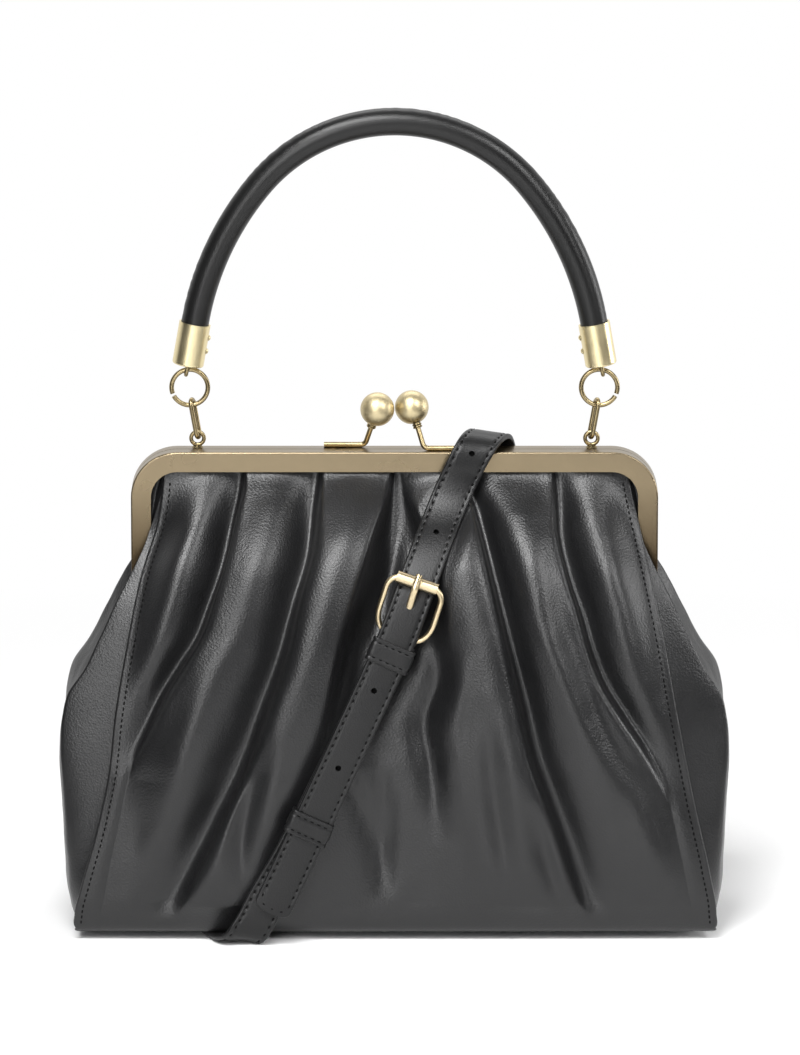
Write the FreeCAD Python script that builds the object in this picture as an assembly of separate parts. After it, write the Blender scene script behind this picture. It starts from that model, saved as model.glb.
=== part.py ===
import FreeCAD, Part
import math
import os

# Leather kiss-lock frame purse: a pleated soft body on a hinged channel frame, a rolled top handle
# on link chains and a buckled strap laid round the body. Millimetres, X to the right, front at -Y, Z up.
os.makedirs("parts", exist_ok=True)
V = FreeCAD.Vector
X, Y, Z = V(1, 0, 0), V(0, 1, 0), V(0, 0, 1)

# Sizes that drive the purse
FOOT_H = 4.0            # height of the base studs under the leather
BASE_HALF_W = 151.0     # half width of the base
BASE_HALF_D = 51.5      # half depth of the base
BASE_ROLL_R = 12.0      # outside radius of the rolled bottom edge
LEATHER = 1.6           # body leather thickness
SEAM_GAP = 0.3          # clearance left between sewn layers
FRAME_W = 250.0         # outside width of the frame
FRAME_TOP = 228.0       # height of the frame's top face
FRAME_FACE = 9.5        # width of the frame's visible face
FRAME_CORNER_R = 22.0   # outside corner radius
FRAME_DEPTH = 8.1       # depth of one half
FRAME_SHEET = 0.9       # sheet thickness of the channel
HALF_GAP = 0.3          # each half stops this far from the middle plane
HINGE_Z = 165.0         # height of the hinge rivets
LEG_END = 5.0           # the channel legs stop this far above the rivets
LUG_R = 4.0             # hinge lug end radius
LUG_T = 1.2             # hinge lug thickness
LUG_GAP = 0.2           # side clearance between the lugs
RIVET_R = 1.3           # hinge rivet shank radius
RUN_FIT = 0.05          # radial clearance of a running fit
BALL_R = 8.05           # clasp ball radius
BALL_Z = 247.7          # clasp ball height
STEM_R = 1.25           # clasp wire radius
EYE_X = 93.5            # handle eyes, each side of the middle
EYE_WIRE_R = 0.95
EYE_R = 3.05            # eye ring, wire centre radius
EYE_RISE = 4.4          # eye centre above the frame top
LINK_WIRE_R = 1.1
LINK_TURN = 15.0        # degrees the link is turned about its length
CHAIN_GAP = 0.3         # play between a ring and the bend that it hangs in
LINK_PITCH = V(2.3, 0, 13.0)     # from the eye to the ring, right side
RING_PITCH = V(2.6, 0, 17.0)     # from the link to the staple, right side
RING_GAP_DEG = 9.0      # gap in the open jump ring
RING_WIRE_R = 1.15
STAPLE_WIRE_R = 1.0
LINK_END_R = LINK_WIRE_R + RING_WIRE_R + CHAIN_GAP          # link end bend, wire centre radius
STAPLE_BEND_R = STAPLE_WIRE_R + RING_WIRE_R + CHAIN_GAP     # staple bend, wire centre radius
HANDLE_LEAN = 10.0      # degrees the handle ends lean outwards
HANDLE_R = 6.5          # rolled handle radius
HANDLE_CORE_R = 4.3
HANDLE_TOP_R = 82.5     # crown bend of the handle, centre line
HANDLE_CROWN_DEG = 50.0
FERRULE_L = 20.5
FERRULE_R = 7.5
FERRULE_WALL = 0.8
FERRULE_SEAT = 2.4      # ferrule end above the staple's pivot
FOOT_ROUND = 1.0        # rounding of the ferrule's foot
FERRULE_GRIP = 12.0     # handle length inside the ferrule
STRAP_W = 18.0
STRAP_T = 2.6
HOLE_R = 1.5
BUCKLE_WIRE_R = 1.3
BUCKLE_L = 26.9         # roller bar to pivot bar, wire centres
BUCKLE_W = 26.8         # side bar to side bar, wire centres
BUCKLE_TILT = 20.8      # degrees the buckle tips from over to under the strap
ROLLER_R = 2.8
ROLLER_L = 20.0
PRONG_R = 1.1           # half thickness of the prong
PRONG_HALF_W = 1.65     # half width of the prong
KEEPER_L = 11.5
KEEPER_T = 1.2
RING_BAR_R = 1.2        # rectangular strap ring wire
STRAP_RING = V(104.0, 0, 148.0)  # strap ring bar, right side, on the back panel

MID_Y = HALF_GAP + FRAME_DEPTH / 2      # middle of the back half's depth
LEG_Z = HINGE_Z + LEG_END
HALF_W = FRAME_W / 2


def keep(name, shape):
    """Write one node and print what it is."""
    shape.exportStep("parts/%s.step" % name)
    print("%-22s solids %d  volume %.1f mm3" % (name, len(shape.Solids), shape.Volume))


def mirrored(shape):
    """The left-hand twin of a right-hand shape."""
    return shape.mirror(V(0, 0, 0), X)


def bent_path(points, radii):
    """A path of straight runs joined by tangent arcs, as a wire."""
    edges, start = [], points[0]
    for before, corner, after, radius in zip(points, points[1:], points[2:], radii):
        back = (before - corner).normalize()
        ahead = (after - corner).normalize()
        half = math.acos(max(-1, min(1, back.dot(ahead)))) / 2
        reach = radius / math.tan(half)
        tip = (back + ahead).normalize()
        middle = corner + tip * (radius / math.sin(half) - radius)
        first, last = corner + back * reach, corner + ahead * reach
        edges.append(Part.makeLine(start, first))
        edges.append(Part.Arc(first, middle, last).toShape())
        start = last
    edges.append(Part.makeLine(start, points[-1]))
    return Part.Wire(edges)


def rod(path, radius, wide=None):
    """A round wire or tube along a path, or an oval one with wide as its larger half axis."""
    edge = path.Edges[0]
    start, direction = edge.valueAt(edge.FirstParameter), edge.tangentAt(edge.FirstParameter)
    section = Part.makeCircle(radius, start, direction)
    if wide:
        narrow = wide.cross(direction).normalize() * radius
        section = Part.Ellipse(start + wide, start + narrow, start).toShape()
    return path.makePipeShell([Part.Wire(section)], True, False)


def ring_arc(centre, axis, start, radius, wire, degrees):
    """Part of a round-wire ring, swept from the point start about the axis."""
    tangent = axis.cross(start - centre)
    face = Part.Face(Part.Wire(Part.makeCircle(wire, start, tangent)))
    return face.revolve(centre, axis, degrees)


def fused(shapes):
    """One solid from touching shapes."""
    whole = shapes[0]
    for shape in shapes[1:]:
        whole = whole.fuse(shape)
    return whole.removeSplitter()


# Channel frame
def frame_outline(inset, leg_z):
    """Face between the frame's outside, set in by inset, and its inside edge."""
    a, b = HALF_W - inset, HALF_W - FRAME_FACE
    top, low = FRAME_TOP - inset, FRAME_TOP - FRAME_FACE
    ra, rb = FRAME_CORNER_R - inset, FRAME_CORNER_R - FRAME_FACE
    s = math.sqrt(0.5)

    def corner(x, z, r, side):
        centre = V(side * (x - r), 0, z - r)
        return [centre + V(side * r, 0, 0), centre + V(side * r * s, 0, r * s), centre + V(0, 0, r)]

    left, right = corner(a, top, ra, -1), corner(a, top, ra, 1)
    inner_left, inner_right = corner(b, low, rb, -1), corner(b, low, rb, 1)
    edges = [
        Part.makeLine(V(-a, 0, leg_z), left[0]),
        Part.Arc(*left).toShape(),
        Part.makeLine(left[2], right[2]),
        Part.Arc(*right[::-1]).toShape(),
        Part.makeLine(right[0], V(a, 0, leg_z)),
        Part.makeLine(V(a, 0, leg_z), V(b, 0, leg_z)),
        Part.makeLine(V(b, 0, leg_z), inner_right[0]),
        Part.Arc(*inner_right).toShape(),
        Part.makeLine(inner_right[2], inner_left[2]),
        Part.Arc(*inner_left[::-1]).toShape(),
        Part.makeLine(inner_left[0], V(-b, 0, leg_z)),
        Part.makeLine(V(-b, 0, leg_z), V(-a, 0, leg_z)),
    ]
    return Part.Face(Part.Wire(edges))


def frame_half(lug_x):
    """The back half: a channel open to the inside, with a hinge lug in each leg."""
    body = frame_outline(0, LEG_Z).extrude(Y * FRAME_DEPTH)
    groove = frame_outline(FRAME_SHEET, LEG_Z - 1).extrude(Y * (FRAME_DEPTH - 2 * FRAME_SHEET))
    # the groove breaks through the inside edge, so its floor is the only wall between the cheeks
    body = body.cut(groove.translated(Y * FRAME_SHEET)).translated(Y * HALF_GAP)
    edges = [e for e in body.Edges if e.BoundBox.YMax > HALF_GAP + FRAME_DEPTH - 0.01
             and abs(e.BoundBox.YMin - e.BoundBox.YMax) < 0.01 and e.Length > 8 and outer_edge(e)]
    body = body.makeFillet(0.8, edges)
    far = HALF_GAP + FRAME_DEPTH - FRAME_SHEET / 2
    near = HALF_GAP + FRAME_SHEET + 0.8
    arm = Part.Face(Part.makePolygon([
        V(lug_x, far, LEG_Z + 16), V(lug_x, near, LEG_Z + 16), V(lug_x, near, LEG_Z + 1),
        V(lug_x, -LUG_R * 0.3, HINGE_Z + LUG_R * 0.9), V(lug_x, 0, HINGE_Z - LUG_R),
        V(lug_x, LUG_R * 0.8, HINGE_Z - LUG_R * 0.6), V(lug_x, far, LEG_Z - 1), V(lug_x, far, LEG_Z + 16)]))
    lug = arm.extrude(X * LUG_T)
    lug = lug.fuse(Part.makeCylinder(LUG_R, LUG_T, V(lug_x, 0, HINGE_Z), X))
    lug = lug.cut(Part.makeCylinder(RIVET_R + RUN_FIT, LUG_T + 2, V(lug_x - 1, 0, HINGE_Z), X))
    return fused([body, lug, mirrored(lug)])


def outer_edge(edge):
    """True for an edge on the frame's outside line."""
    box = edge.BoundBox
    on_side = max(abs(box.XMin), abs(box.XMax)) > HALF_W - 0.01 and box.ZMin > LEG_Z - 1
    on_top = box.ZMax > FRAME_TOP - 0.01
    inside = box.ZMax < FRAME_TOP - FRAME_FACE + 0.01 and max(abs(box.XMin), abs(box.XMax)) < HALF_W - 1
    return (on_side or on_top) and not inside


back_lug_x = HALF_W - FRAME_SHEET - LUG_T - LUG_GAP - 3 * LUG_T
front_lug_x = back_lug_x + LUG_T + LUG_GAP
back_frame = frame_half(back_lug_x)
front_frame = frame_half(front_lug_x).mirror(V(0, 0, 0), Y)
keep("front_frame", front_frame)
keep("back_frame", back_frame)

# Hinge rivets: a shank through both lugs with a rolled head at each end
head_t = 0.9
shank_x = back_lug_x - LUG_GAP - head_t
shank_l = 2 * LUG_T + 3 * LUG_GAP + 2 * head_t
rivet = Part.makeCylinder(RIVET_R, shank_l, V(shank_x, 0, HINGE_Z), X)
rivet = rivet.fuse(Part.makeCylinder(2 * RIVET_R, head_t, V(shank_x, 0, HINGE_Z), X))
rivet = fused([rivet, Part.makeCylinder(2 * RIVET_R, head_t, V(shank_x + shank_l - head_t, 0, HINGE_Z), X)])
keep("right_hinge_rivet", rivet)
keep("left_hinge_rivet", mirrored(rivet))

# Paper cord that wedges the leather into each channel
cord_r = 1.05
cord_y = HALF_GAP + FRAME_SHEET + SEAM_GAP + cord_r - 0.25
cord_half = HALF_W - FRAME_CORNER_R - 4
wedge = Part.makeCylinder(cord_r, 2 * cord_half, V(-cord_half, cord_y, FRAME_TOP - FRAME_SHEET - 2.4), X)
keep("back_frame_cord", wedge)
keep("front_frame_cord", wedge.mirror(V(0, 0, 0), Y))

# Kiss-lock clasp: each wire starts as a bar on its own half and leans across the other half
BAR_END = 33.5          # outer end of the clasp bar
BEND_X = 14.0           # where the wire turns up
BALL_X = BALL_R + 0.1   # balls pass each other with this half clearance
BALL_Y = 2.4            # ball centre, on the side of the other half
bar_z = FRAME_TOP + STEM_R
ball_seat = V(BALL_X, BALL_Y, BALL_Z)
wire_top = ball_seat + (V(BEND_X, -MID_Y, bar_z) - ball_seat).normalize() * (BALL_R - 1.5)
wire = rod(bent_path([V(BAR_END, -MID_Y, bar_z), V(BEND_X, -MID_Y, bar_z), wire_top], [3.0]), STEM_R)
lean = (wire_top - V(BEND_X, -MID_Y, bar_z)).normalize()
socket = Part.makeCylinder(STEM_R + RUN_FIT, BALL_R, wire_top - lean * (BALL_R - RUN_FIT), lean)
ball = Part.makeSphere(BALL_R, ball_seat).cut(socket)
foot = ball_seat - lean * (BALL_R + 0.1)
bead_in, bead_out, bead_h = STEM_R + RUN_FIT, STEM_R + 1.0, 1.0
beads = []
for seat in (foot - lean * bead_h, foot - lean * (2.2 * bead_h)):
    bead = Part.makeCylinder(bead_out, bead_h, seat, lean)
    bead = bead.makeChamfer(0.3, [e for e in bead.Edges if e.Length > 6])
    beads.append(bead.cut(Part.makeCylinder(bead_in, 3 * bead_h, seat - lean * bead_h, lean)))
beads = Part.makeCompound(beads)
half_turn = V(0, 0, 1)
keep("front_clasp_wire", wire)
keep("front_clasp_ball", ball)
keep("front_clasp_collar", beads)
keep("back_clasp_wire", wire.rotated(V(0, 0, 0), half_turn, 180))
keep("back_clasp_ball", ball.rotated(V(0, 0, 0), half_turn, 180))
keep("back_clasp_collar", beads.rotated(V(0, 0, 0), half_turn, 180))

# Handle chain: eye, link, open ring and staple, each bend concentric with the wire it turns on
eye_c = V(EYE_X, MID_Y, FRAME_TOP + EYE_RISE)
eye = Part.makeTorus(EYE_R, EYE_WIRE_R, eye_c, Y)
eye = fused([eye, Part.makeCone(2.9, 1.6, EYE_RISE - EYE_R, V(EYE_X, MID_Y, FRAME_TOP), Z)])
eye_pivot = eye_c + V(0, 0, EYE_R)
keep("right_eye", eye)
keep("left_eye", mirrored(eye))

link_top = eye_pivot + LINK_PITCH
link_dir = V(LINK_PITCH).normalize()
link_side = FreeCAD.Rotation(link_dir, LINK_TURN).multVec(Y)
link_axis = link_dir.cross(link_side)
side = link_side * LINK_END_R
link = fused([
    ring_arc(eye_pivot, link_axis, eye_pivot + side, LINK_END_R, LINK_WIRE_R, 180),
    ring_arc(link_top, link_axis, link_top - side, LINK_END_R, LINK_WIRE_R, 180),
    Part.makeCylinder(LINK_WIRE_R, LINK_PITCH.Length, eye_pivot + side, link_dir),
    Part.makeCylinder(LINK_WIRE_R, LINK_PITCH.Length, eye_pivot - side, link_dir)])
keep("right_link", link)
keep("left_link", mirrored(link))

staple_pivot = link_top + RING_PITCH
ring_c = link_top + RING_PITCH * 0.5
ring_r = RING_PITCH.Length / 2
gap_start = math.radians(-20.0)
ring_start = ring_c + V(math.cos(gap_start), 0, math.sin(gap_start)) * ring_r
ring = ring_arc(ring_c, Y * -1, ring_start, ring_r, RING_WIRE_R, 360 - RING_GAP_DEG)
keep("right_ring", ring)
keep("left_ring", mirrored(ring))

lean_rad = math.radians(HANDLE_LEAN)
up = V(-math.sin(lean_rad), 0, math.cos(lean_rad))
staple_axis = up.cross(Y)
leg = Y * STAPLE_BEND_R
leg_l = FERRULE_SEAT + 3.5
staple = fused([
    ring_arc(staple_pivot, staple_axis, staple_pivot + leg, STAPLE_BEND_R, STAPLE_WIRE_R, 180),
    Part.makeCylinder(STAPLE_WIRE_R, leg_l, staple_pivot + leg, up),
    Part.makeCylinder(STAPLE_WIRE_R, leg_l, staple_pivot - leg, up)])
keep("right_staple", staple)
keep("left_staple", mirrored(staple))

# Ferrule: a plain turned cup with a rounded foot and an open collar for the handle
r, w, l = FERRULE_R, FERRULE_WALL, FERRULE_L
cup = Part.makeCylinder(r, l)
foot_edge = [edge for edge in cup.Edges if edge.CenterOfMass.z < 0.1 and edge.Length > r]
cup = cup.makeFillet(FOOT_ROUND, foot_edge)
cup = cup.cut(Part.makeCylinder(r - w, l, V(0, 0, 1.2), Z))
for y_side in (-1, 1):
    cup = cup.cut(Part.makeCylinder(STAPLE_WIRE_R + RUN_FIT, 4, V(0, y_side * STAPLE_BEND_R, -1), Z))
SCREW_HEIGHTS = (8.0, 14.5)
screw_r = 0.9
screws = []
for height in SCREW_HEIGHTS:
    cup = cup.cut(Part.makeCylinder(screw_r + RUN_FIT, 4, V(-r - 1, 0, height), X))
    shank = Part.makeCylinder(screw_r, w + 0.2, V(-r, 0, height), X)
    outside = Part.makeBox(2, 4, 4, V(-r - 2, -2, height - 2))
    dome = Part.makeSphere(1.6, V(-r + 0.55, 0, height)).common(outside)
    screws.append(fused([shank, dome]))


def on_handle_end(shape):
    """Move a shape from the ferrule's own axes to the right handle end."""
    turned = shape.rotated(V(0, 0, 0), Y, -HANDLE_LEAN)
    return turned.translated(staple_pivot + up * FERRULE_SEAT)


cup = on_handle_end(cup)
screws = on_handle_end(Part.makeCompound(screws))
keep("right_ferrule", cup)
keep("left_ferrule", mirrored(cup))
keep("right_ferrule_screws", screws)
keep("left_ferrule_screws", mirrored(screws))

# Rolled handle: a crown arc, a flatter arc each side and straight ends in the ferrules
collar = staple_pivot + up * (FERRULE_SEAT + FERRULE_L)
crown = math.radians(HANDLE_CROWN_DEG)
finish = math.radians(90 - HANDLE_LEAN)
flank_r = (collar.x - HANDLE_TOP_R * math.sin(crown)) / (math.sin(finish) - math.sin(crown))
top_z = collar.z + HANDLE_TOP_R * (1 - math.cos(crown)) + flank_r * (math.cos(crown) - math.cos(finish))


def flank(angle):
    """Point on the handle's centre line at this angle from the crown."""
    a = abs(angle)
    x = HANDLE_TOP_R * math.sin(min(a, crown))
    z = top_z - HANDLE_TOP_R * (1 - math.cos(min(a, crown)))
    if a > crown:
        x += flank_r * (math.sin(a) - math.sin(crown))
        z -= flank_r * (math.cos(crown) - math.cos(a))
    return V(math.copysign(x, angle), MID_Y, z)


def handle_path(grip):
    """The handle's centre line, from one ferrule to the other."""
    end = flank(finish) - up * grip
    mid = (crown + finish) / 2
    return Part.Wire([
        Part.makeLine(V(-end.x, end.y, end.z), flank(-finish)),
        Part.Arc(flank(-finish), flank(-mid), flank(-crown)).toShape(),
        Part.Arc(flank(-crown), V(0, MID_Y, top_z), flank(crown)).toShape(),
        Part.Arc(flank(crown), flank(mid), flank(finish)).toShape(),
        Part.makeLine(flank(finish), end)])


cover = rod(handle_path(FERRULE_GRIP), HANDLE_R)
cover = cover.cut(rod(handle_path(FERRULE_GRIP + 1), HANDLE_CORE_R + RUN_FIT * 2))
keep("handle_cover", cover)
keep("handle_core", rod(handle_path(FERRULE_GRIP), HANDLE_CORE_R))
print("handle crown height %.1f mm" % (top_z + HANDLE_R))


# Leather body
def body_half(share):
    """Half width of the body, from the frame's (share 0) out to the base's (share 1)."""
    return HALF_W + share * (BASE_HALF_W - HALF_W)


# Front and back line of the body: height, half width, depth at the side seams, depth at the middle
D = BASE_HALF_D
LOWER = ((16.5, body_half(1.0), D - 1.0, D), (47.0, body_half(0.75), D - 2.0, D + 2.0),
         (90.0, body_half(0.35), D - 6.0, D + 1.0), (130.0, body_half(0.17), D - 12.5, D - 4.0),
         (166.0, body_half(-0.08), D - 22.5, D - 10.2))
UPPER = ((172.0, HALF_W - 4.0, 22.0, 36.0), (183.0, HALF_W - 8.0, 16.0, 29.8),
         (195.0, HALF_W - 11.5, 10.0, 21.2), (208.0, HALF_W - 15.0, 6.0, 10.9))
TUCK_Y = HALF_GAP + FRAME_SHEET + 2 * cord_r + 0.3      # inside face of the edge held in the channel
TUCK = ((FRAME_TOP - FRAME_FACE, HALF_W - 19.0, TUCK_Y + LEATHER, TUCK_Y + LEATHER),
        (FRAME_TOP - 3.0, HALF_W - 25.0, TUCK_Y + LEATHER, TUCK_Y + LEATHER))


def wall_section(z, half_w, seam_y, mid_y, thick):
    """A curved strip of leather at one height, as a closed wire, on the back side."""
    a, b, c = V(-half_w, seam_y, z), V(0, mid_y, z), V(half_w, seam_y, z)
    d, e, f = (p - Y * thick for p in (a, b, c))
    outer = Part.Arc(a, b, c).toShape() if mid_y > seam_y else Part.makeLine(a, c)
    inner = Part.Arc(f, e, d).toShape() if mid_y > seam_y else Part.makeLine(f, d)
    return Part.Wire([outer, Part.makeLine(c, f), inner, Part.makeLine(d, a)])


def wall(rows, thick):
    """A leather wall lofted through its sections."""
    return Part.makeLoft([wall_section(*row, thick) for row in rows], True, False)


SLIGHT = 0.15           # the tucked edge keeps a slight crown so that every section is an arc
TUCK = tuple((z, half, y - SLIGHT, y) for z, half, y, _ in TUCK)
lower_wall = wall(LOWER, LEATHER)
upper_wall = wall(UPPER + TUCK, LEATHER)
front = V(0, 1, 0)
keep("front_panel", lower_wall.mirror(V(0, 0, 0), front))
keep("front_panel_top", upper_wall.mirror(V(0, 0, 0), front))
keep("back_panel", lower_wall)
keep("back_panel_top", upper_wall)

# Base panel with rolled edges, its board and studs
d, r, t = BASE_HALF_D, BASE_ROLL_R, LEATHER
s = math.sqrt(0.5)


def roll(radius):
    """The base's cross section at this roll radius: up, round and along."""
    c = V(-BASE_HALF_W + 0.5, d - r, FOOT_H + r)
    points = [c + V(0, radius, 0), c + V(0, radius * s, -radius * s), c + V(0, 0, -radius)]
    twin = [V(p.x, -p.y, p.z) for p in points]
    return [Part.Arc(*points).toShape(), Part.makeLine(points[2], twin[2]), Part.Arc(*twin[::-1]).toShape()]


outer, inner = roll(r), roll(r - t)
ends = [Part.makeLine(outer[0].Vertexes[0].Point, inner[0].Vertexes[0].Point),
        Part.makeLine(outer[2].Vertexes[-1].Point, inner[2].Vertexes[-1].Point)]
base = Part.Face(Part.Wire(Part.__sortEdges__(outer + inner + ends)))
keep("base_panel", base.extrude(X * (2 * BASE_HALF_W - 1)))
BOARD_T = 2.2
board_z = FOOT_H + LEATHER + SEAM_GAP
board = Part.makeBox(2 * BASE_HALF_W - 8, 2 * (d - r), BOARD_T, V(-BASE_HALF_W + 4, r - d, board_z))
keep("base_board", board)
STUD_X, STUD_Y, STUD_R = 126.0, 20.0, 6.0
stud = Part.makeCone(STUD_R - 1.6, STUD_R, 1.8, V(STUD_X, STUD_Y, 0), Z)
stud = fused([stud, Part.makeCylinder(STUD_R, FOOT_H - 1.8, V(STUD_X, STUD_Y, 1.8), Z)])
studs = [stud, stud.mirror(V(0, 0, 0), Y), mirrored(stud), mirrored(stud).mirror(V(0, 0, 0), Y)]
keep("base_studs", Part.makeCompound(studs))

# Gussets: two ridges with the fold between them pushed in towards the top
# height, half width and depth at the seam, the ridge's rise and depth, the fold's rise
GUSSET_T = 1.4
GUSSET = ((6.3, BASE_HALF_W - 1.7, D - 11.5, 1.5, D - 21.5, 1.9),
          (16.5, BASE_HALF_W - 0.7, D - 3.4, 2.1, D - 13.5, 2.5),
          (66.0, body_half(0.55), D - 5.9, 15.6, D - 12.5, 15.8),
          (118.0, body_half(0.19), D - 12.9, 27.0, D - 17.0, 19.0),
          (140.0, body_half(0.08), D - 17.5, 19.0, D - 23.0, 6.0),
          (160.0, HALF_W - 2.5, D - 23.5, 9.0, D - 32.0, 0.0))


def gusset_section(z, seam_x, seam_y, ridge_out, ridge_y, fold_out):
    """The gusset at one height: seam, ridge, fold, ridge, seam, and back along the inside."""
    ridge_x, fold_x = seam_x + ridge_out, seam_x + fold_out
    line = [(seam_x, -seam_y), (ridge_x, -ridge_y), (fold_x, 0), (ridge_x, ridge_y), (seam_x, seam_y)]
    outside = [V(x, y, z) for x, y in line]
    inside = [V(x - GUSSET_T, y * 0.985, z) for x, y in reversed(line)]
    return Part.makePolygon(outside + inside + outside[:1])


gusset = Part.makeLoft([gusset_section(*row) for row in GUSSET], True, True)
keep("right_gusset", gusset)
keep("left_gusset", mirrored(gusset))

# Lining bag, open at the top, with a slip pocket on its back wall
LINING_T = 0.8
LINING = ((board_z + BOARD_T + SEAM_GAP, BASE_HALF_W - 7.0, D - 13.5, D - 12.5, BASE_HALF_W - 5.0),
          (20.0, BASE_HALF_W - 7.0, D - 7.5, D - 4.5, BASE_HALF_W - 2.0),
          (66.0, body_half(0.55) - 6.3, D - 11.0, D - 2.5, body_half(0.55) + 11.2),
          (118.0, body_half(0.19) - 4.9, D - 18.0, D - 7.0, body_half(0.19) + 14.0),
          (135.0, body_half(0.08) - 5.1, D - 21.5, D - 9.5, body_half(0.08) + 2.9))


def lining_section(z, seam_x, seam_y, mid_y, side_x, inset):
    """The lining at one height as an eight-sided loop."""
    a, b, c, e = seam_x - inset, seam_y - inset, mid_y - inset, side_x - inset
    loop = [(a, b), (0, c), (-a, b), (-e, 0), (-a, -b), (0, -c), (a, -b), (e, 0), (a, b)]
    return Part.makePolygon([V(x, y, z) for x, y in loop])


bag = Part.makeLoft([lining_section(*row, 0) for row in LINING], True, True)
floor = (LINING[0][0] + LINING_T,) + LINING[0][1:]
rim = (LINING[-1][0] + 1,) + LINING[-1][1:]
hollow = Part.makeLoft([lining_section(*row, LINING_T) for row in (floor,) + LINING[1:] + (rim,)], True, True)
bag = bag.cut(hollow)
keep("lining", bag)
POCKET_HALF, POCKET_T = 65.0, 0.8
POCKET_LOW, POCKET_HIGH = 40.0, 112.0


def lining_back_y(x, z):
    """The lining's inside face on the back wall, at this place."""
    for low, high in zip(LINING, LINING[1:]):
        if low[0] <= z <= high[0]:
            share = (z - low[0]) / (high[0] - low[0])
            seam_x, seam_y, mid_y, _ = (p + (q - p) * share for p, q in zip(low[1:], high[1:]))
            return mid_y - (mid_y - seam_y) * x / seam_x - LINING_T


def pocket_section(z):
    """The slip pocket at one height, just clear of the lining at its sides."""
    y = lining_back_y(POCKET_HALF, z) - SEAM_GAP - POCKET_T
    corners = [(-POCKET_HALF, y), (POCKET_HALF, y), (POCKET_HALF, y + POCKET_T), (-POCKET_HALF, y + POCKET_T)]
    return Part.makePolygon([V(a, b, z) for a, b in corners + corners[:1]])


keep("slip_pocket", Part.makeLoft([pocket_section(POCKET_LOW), pocket_section(POCKET_HIGH)], True, True))


# Strap ring on a sewn tab, at the back near each top corner
ring_top = V(STRAP_RING.x, 42.6, STRAP_RING.z)
ring_low = V(STRAP_RING.x, 48.5, STRAP_RING.z - 10.5)
half = STRAP_W / 2 + 2.9
down = (ring_low - ring_top).normalize()
wide = X * half
corners = [ring_top, ring_top + wide, ring_low + wide, ring_low - wide, ring_top - wide, ring_top]
strap_ring = rod(bent_path(corners, [2.5] * 4), RING_BAR_R)
tab_in, tab_out = RING_BAR_R + 0.2, RING_BAR_R + 0.2 + 1.4
tab_w = STRAP_W - 3
tab = Part.makeCylinder(tab_out, tab_w, ring_top - X * (tab_w / 2), X)
plate_y, plate_z = 36.4, 168.0
plate = Part.Face(Part.makePolygon([V(0, p, q) for p, q in (
    (ring_top.y - tab_out + 0.4, ring_top.z), (plate_y - 2.0, plate_z), (plate_y, plate_z),
    (ring_top.y + tab_out - 0.3, ring_top.z + 1.5), (ring_top.y - tab_out + 0.4, ring_top.z))]))
tab = tab.fuse(plate.extrude(X * tab_w).translated(V(STRAP_RING.x - tab_w / 2, 0, 0)))
tab = tab.cut(Part.makeCylinder(tab_in, tab_w + 2, ring_top - X * (tab_w / 2 + 1), X)).removeSplitter()
keep("right_strap_ring", strap_ring)
keep("left_strap_ring", mirrored(strap_ring))
keep("right_strap_tab", tab)
keep("left_strap_tab", mirrored(tab))


# Strap
BAND_STEP_DEG = 15.0    # bends are made in steps of about this angle


def band_at(path, distance):
    """Point, direction along, direction across and outward normal of the strap at a distance."""
    left = distance
    for edge in path.Edges:
        if left <= edge.Length + 1e-6:
            break
        left -= edge.Length
    u = edge.getParameterByLength(max(0, min(left, edge.Length)))
    along = edge.tangentAt(u)
    normal = X.cross(along).normalize() * -1
    across = normal.cross(along).normalize()
    return edge.valueAt(u), along, across, normal


def band(path, skived):
    """A flat strap along a path, lofted through its cross sections and thin over its folded start."""
    distances, total = [0.0], 0.0
    for edge in path.Edges:
        turn = edge.tangentAt(edge.FirstParameter).getAngle(edge.tangentAt(edge.LastParameter))
        count = 1 + int(turn / math.radians(BAND_STEP_DEG))
        distances += [total + edge.Length * i / count for i in range(1, count + 1)]
        total += edge.Length
    rows = []
    for distance in distances:
        point, along, across, normal = band_at(path, distance)
        thick = SKIVED_T if distance < skived else STRAP_T
        a, n = across * (STRAP_W / 2), normal * (thick / 2)
        section = [point - a - n, point + a - n, point + a + n, point - a + n, point - a - n]
        rows.append(Part.makePolygon(section))
    strip = Part.makeLoft(rows, True, True)
    return strip if strip.Volume > 0 else strip.reversed()


def ring_fold(side):
    """Path corners of a strap end: up the inside of its ring's lower bar, round it and away."""
    x, out = side * STRAP_RING.x, FOLD_R
    return [V(x, ring_low.y - out + 0.6, ring_low.z - FOLD_L), V(x, ring_low.y - out, ring_low.z + out),
            V(x, ring_low.y + out, ring_low.z + out)]


def flat_box(centre, t_along, t_across, t_normal, width, depth, length):
    """A box on the strap's own directions."""
    a, n = t_across * (width / 2), t_normal * (depth / 2)
    start = centre - t_along * (length / 2)
    section = Part.makePolygon([start - a - n, start + a - n, start + a + n, start - a + n, start - a - n])
    return Part.Face(section).extrude(t_along * length)


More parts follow.
